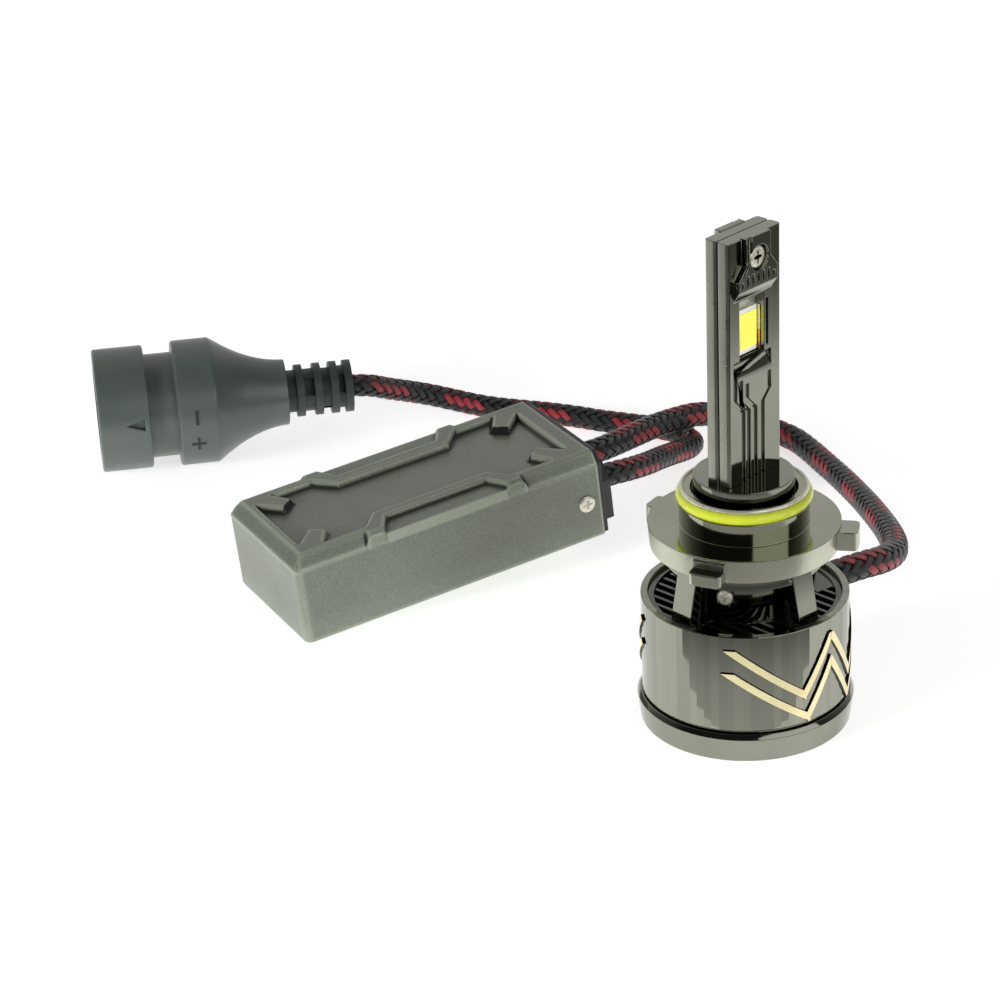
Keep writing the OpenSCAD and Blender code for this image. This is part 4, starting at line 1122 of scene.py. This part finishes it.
@dataclass
class DriverBox:
    """The metal box with its end cap, screws and cable bushes."""

    at: Tuple[float, float, float] = (-33, 75.2, 0)
    tip: float = 5.3
    yaw: float = -17.9
    length: float = 62.4
    width: float = 29.6
    height: float = 17.5
    side_h: float = 15.0
    bevel_w: float = 1.8
    end_bevel: float = 2.2
    corner_r: float = 1.4
    border_x: float = 3.7
    border_y: float = 3.3
    rail_in: float = 7.4
    pocket_in: float = 4.6
    panel_t: float = 1.4
    pocket_t: float = 1.1
    wall_w: float = 0.4
    cell: float = 0.26
    screw_x: float = 59.3
    screw_z: float = 7.7
    screw_r: float = 1.65
    ridge_slant: Tuple[Point, Point] = ((3.0, 15.6), (7.5, 19.4))
    ridge_start: Tuple[Point, Point] = ((0.0, 14.8), (3.0, 16.2))
    pocket_slant: Tuple[Point, Point] = ((0.0, 18.3), (4.8, 21.0))
    tongue: Tuple[Point, ...] = ((2.7, 4.5), (7.6, 9.7), (10.2, 7.4), (6.9, 2.0))
    tongue_tip: Tuple[Point, Point] = ((7.9, 10.0), (10.5, 7.1))
    # the width of the band of painted shade along each tongue's tip
    tip_shade_w: float = 0.42
    rim_drop: float = 0.9
    rim_w: float = 0.7
    open_end_drop: float = 0.35
    wall_rows: Tuple[float, ...] = (14.6, 14.2, 9.5, 5.0, 0.9, 0.5)
    foot_rows: Tuple[Point, ...] = ((0.15, 0.15), (0.0, 0.5))

    @property
    def place(self) -> Matrix:
        """The box's own frame: x along it, y across it and z up."""
        turn = Matrix.Rotation(math.radians(self.yaw), 4, "Z") @ Matrix.Rotation(math.radians(-self.tip), 4, "Y")
        return Matrix.Translation(self.at) @ turn

    def relief(self, x: float, y: float) -> float:
        """Gives the height of the box's top at a point.

        Args:
            x: The place along the box.
            y: The place across it.

        Returns:
            The height.
        """
        side, end = min(y, self.width - y), min(x, self.length - x)
        rise = self.height - self.side_h
        ridge = min(inside((side, end), *self.ridge_slant), self.rail_in - side)
        root, near_tip, far_tip, foot = self.tongue
        corner = min(inside((end, side), a, b) for a, b in ((near_tip, root), (far_tip, near_tip), (foot, far_tip)))
        raised = smooth(max(self.border_x - end, self.border_y - side, ridge, corner) / self.wall_w + 0.5)
        pocket = smooth(min(self.pocket_in - side, inside((side, end), *self.pocket_slant)) / self.wall_w + 0.5)
        on_ridge = smooth(inside((side, end), *self.ridge_start) / (2 * self.wall_w) + 0.5)
        slope = self.side_h + rise * side / self.bevel_w
        edge = self.height - self.rim_drop + self.rim_drop * side / self.rim_w
        return min(
            self.height - self.panel_t * (1 - raised), self.height - self.pocket_t * pocket,
            slope * (1 - on_ridge) + max(edge, slope) * on_ridge, self.side_h + rise * x / self.end_bevel,
            self.height - self.open_end_drop + (self.length - x))

    def shell(self) -> bmesh.types.BMesh:
        """Builds the box's shell: a top in relief, with walls drawn down from its rim.

        Returns:
            The mesh.
        """
        bm = bmesh.new()
        bmesh.ops.create_grid(
            bm, x_segments=round(self.length / self.cell), y_segments=round(self.width / self.cell), size=0.5)
        for v in bm.verts:
            x, y = (v.co.x + 0.5) * self.length, (v.co.y + 0.5) * self.width
            z = self.relief(x, y)
            across = min(y, self.width - y)
            if x < self.corner_r and across < self.corner_r:
                dx, dy = self.corner_r - x, self.corner_r - across
                shrink = max(dx, dy) / math.hypot(dx, dy)
                x = self.corner_r - dx * shrink
                across = self.corner_r - dy * shrink
                y = across if y < self.width / 2 else self.width - across
            v.co = (x, y, z)
        # faces along each tongue's tip wall take the near-black bronze: painted shade standing in for the shade of the
        # pocket under the tongue
        for face in bm.faces:
            x, y = face.calc_center_median().xy
            side, end = min(y, self.width - y), min(x, self.length - x)
            root, near_tip, far_tip, foot = self.tongue
            tip = inside((end, side), far_tip, near_tip)
            flanks = min(
                inside((end, side), self.tongue_tip[0], root), inside((end, side), foot, self.tongue_tip[1]))
            face.material_index = 1 if abs(tip) < self.tip_shade_w and flanks > 0 else 0
        bmesh.ops.smooth_vert(
            bm, verts=[v for v in bm.verts if not v.is_boundary], factor=0.5, use_axis_x=False, use_axis_y=False,
            use_axis_z=True)
        rim = [e for e in bm.edges if e.is_boundary]
        middle = Vector((self.length / 2, self.width / 2, 0))
        for height, inset in (*((row, 0.0) for row in self.wall_rows), *self.foot_rows):
            grown = bmesh.ops.extrude_edge_only(bm, edges=rim)["geom"]
            rim = [g for g in grown if isinstance(g, bmesh.types.BMEdge)]
            for v in (g for g in grown if isinstance(g, bmesh.types.BMVert)):
                v.co.z = height
                for i in (0, 1):
                    v.co[i] -= math.copysign(inset, v.co[i] - middle[i]) if inset else 0.0
        bmesh.ops.contextual_create(bm, geom=rim)
        bmesh.ops.recalc_face_normals(bm, faces=bm.faces)
        return bm

    def build(self) -> list:
        """Builds the box.

        Returns:
            Its pieces.
        """
        made = [
            Piece(
                "driver_shell", (SATIN_BRONZE, PAINTED_SHADE_BRONZE), Slot.BRONZE_METAL, ("driver_case",),
                shading=Shading.ROUND).build(self.shell(), self.place),
            Piece("driver_cap", (BLACK_MOULDING,), Slot.BLACK_PLASTIC, ("driver_end_cap",)).build(
                soften(cad_copy("driver_end_cap"), 0.15, 30)),
        ]
        screws = bmesh.new()
        for y, way in ((0.0, -1), (self.width, 1)):
            head = CrossScrew(self.screw_r, 0.5, 0.9, 0.38, 0.95, 3.4, dome=0.2, recess_t=0.35).mesh()
            add(screws, head, towards((0, way, 0), (self.screw_x, y + way * 0.5, self.screw_z)))
        made.append(Piece("driver_cap_screws", (BRIGHT_NICKEL,), Slot.NICKEL, ("driver_screws",)).build(
            screws, self.place))
        for side in ("lamp", "plug"):
            made.append(Piece(f"{side}_bush", (RUBBER,), Slot.BLACK_RUBBER, (f"{side}_grommet",)).build(
                soften(cad_copy(f"{side}_grommet"), 0.18, 40)))
        dress(SOLDER_MASK, "driver_board")
        dress(BARE_COPPER, "driver_inductor")
        dress(FIN_ALUMINIUM, "driver_capacitors")
        dress(BLACK_MOULDING, "driver_chips")
        return made + [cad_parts[f"driver_{n}"] for n in ("board", "inductor", "capacitors", "chips")]


@dataclass
class Plug:
    """The round supply plug."""

    at: Tuple[float, float, float] = (-7.85, 163.25, 12.65)
    yaw: float = -36.5
    mark_x: float = 19.35
    mark_r: float = 12.65
    mark_l: float = 2.9
    mark_w: float = 0.5
    mark_sunk: float = 0.25
    mark_proud: float = 0.12
    minus_turn: float = -8.0
    plus_turn: float = 19.0

    @property
    def place(self) -> Matrix:
        """The plug's own frame, with x from its mouth to its cable."""
        return Matrix.Translation(self.at) @ Matrix.Rotation(math.radians(self.yaw), 4, "Z")

    def build(self) -> list:
        """Builds the plug.

        Returns:
            Its pieces.
        """
        # the marks are real moulded bars; their near-black moulding is painted shade standing in for the shade along
        # their edges
        marks = bmesh.new()
        half_l, half_w = self.mark_l / 2, self.mark_w / 2
        low, high = self.mark_r - self.mark_sunk, self.mark_r + self.mark_proud
        upright, flat = (half_w, half_l), (half_l, half_w)
        for turn, (x, z) in ((self.minus_turn, upright), (self.plus_turn, upright), (self.plus_turn, flat)):
            bar = box((self.mark_x - x, -high, -z), (self.mark_x + x, -low, z))
            add(marks, bar, self.place @ Matrix.Rotation(math.radians(turn), 4, "X"))
        made = [
            Piece("plug_shell", (PLUG_MOULDING,), Slot.PLUG_PLASTIC, ("plug_body",)).build(
                soften(cad_copy("plug_body"), 0.2, 30, 3)),
            Piece("plug_marks", (BLACK_MOULDING,), Slot.PLUG_PLASTIC).build(marks),
            Piece("plug_relief", (RELIEF_RUBBER,), Slot.BLACK_RUBBER, ("plug_strain_relief",)).build(
                soften(cad_copy("plug_strain_relief"), 0.12, 40, 2, clamp=True)),
        ]
        dress(PLUG_MOULDING, "plug_insert")
        dress(BRIGHT_NICKEL, "plug_pins")
        return made + [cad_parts["plug_insert"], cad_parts["plug_pins"]]


# ---------------------------------------------------------------- the whole


def main() -> None:
    """Builds the stage, the cords and every piece."""
    logging.basicConfig(level=logging.INFO, format="%(name)s: %(message)s")
    Studio().build()
    lamp_cable = BraidedCable(
        "lamp_braid", "lamp_cable", LAMP_ROUTE, 5.0, 175.6, (17.3, -3.4, 19.6), "object")
    plug_cable = BraidedCable(
        "plug_braid", "plug_cable", PLUG_ROUTE, 4.6, 134.2, (30.8, 63.5, 13.2), "plug", pitch=19.0, strand_w=1.2)
    lamp_piece, plug_piece = lamp_cable.build(), plug_cable.build()
    Column().build()
    Cap().build()
    FanBase().build()
    DriverBox().build()
    Plug().build()


if __name__ == "__main__":
    main()
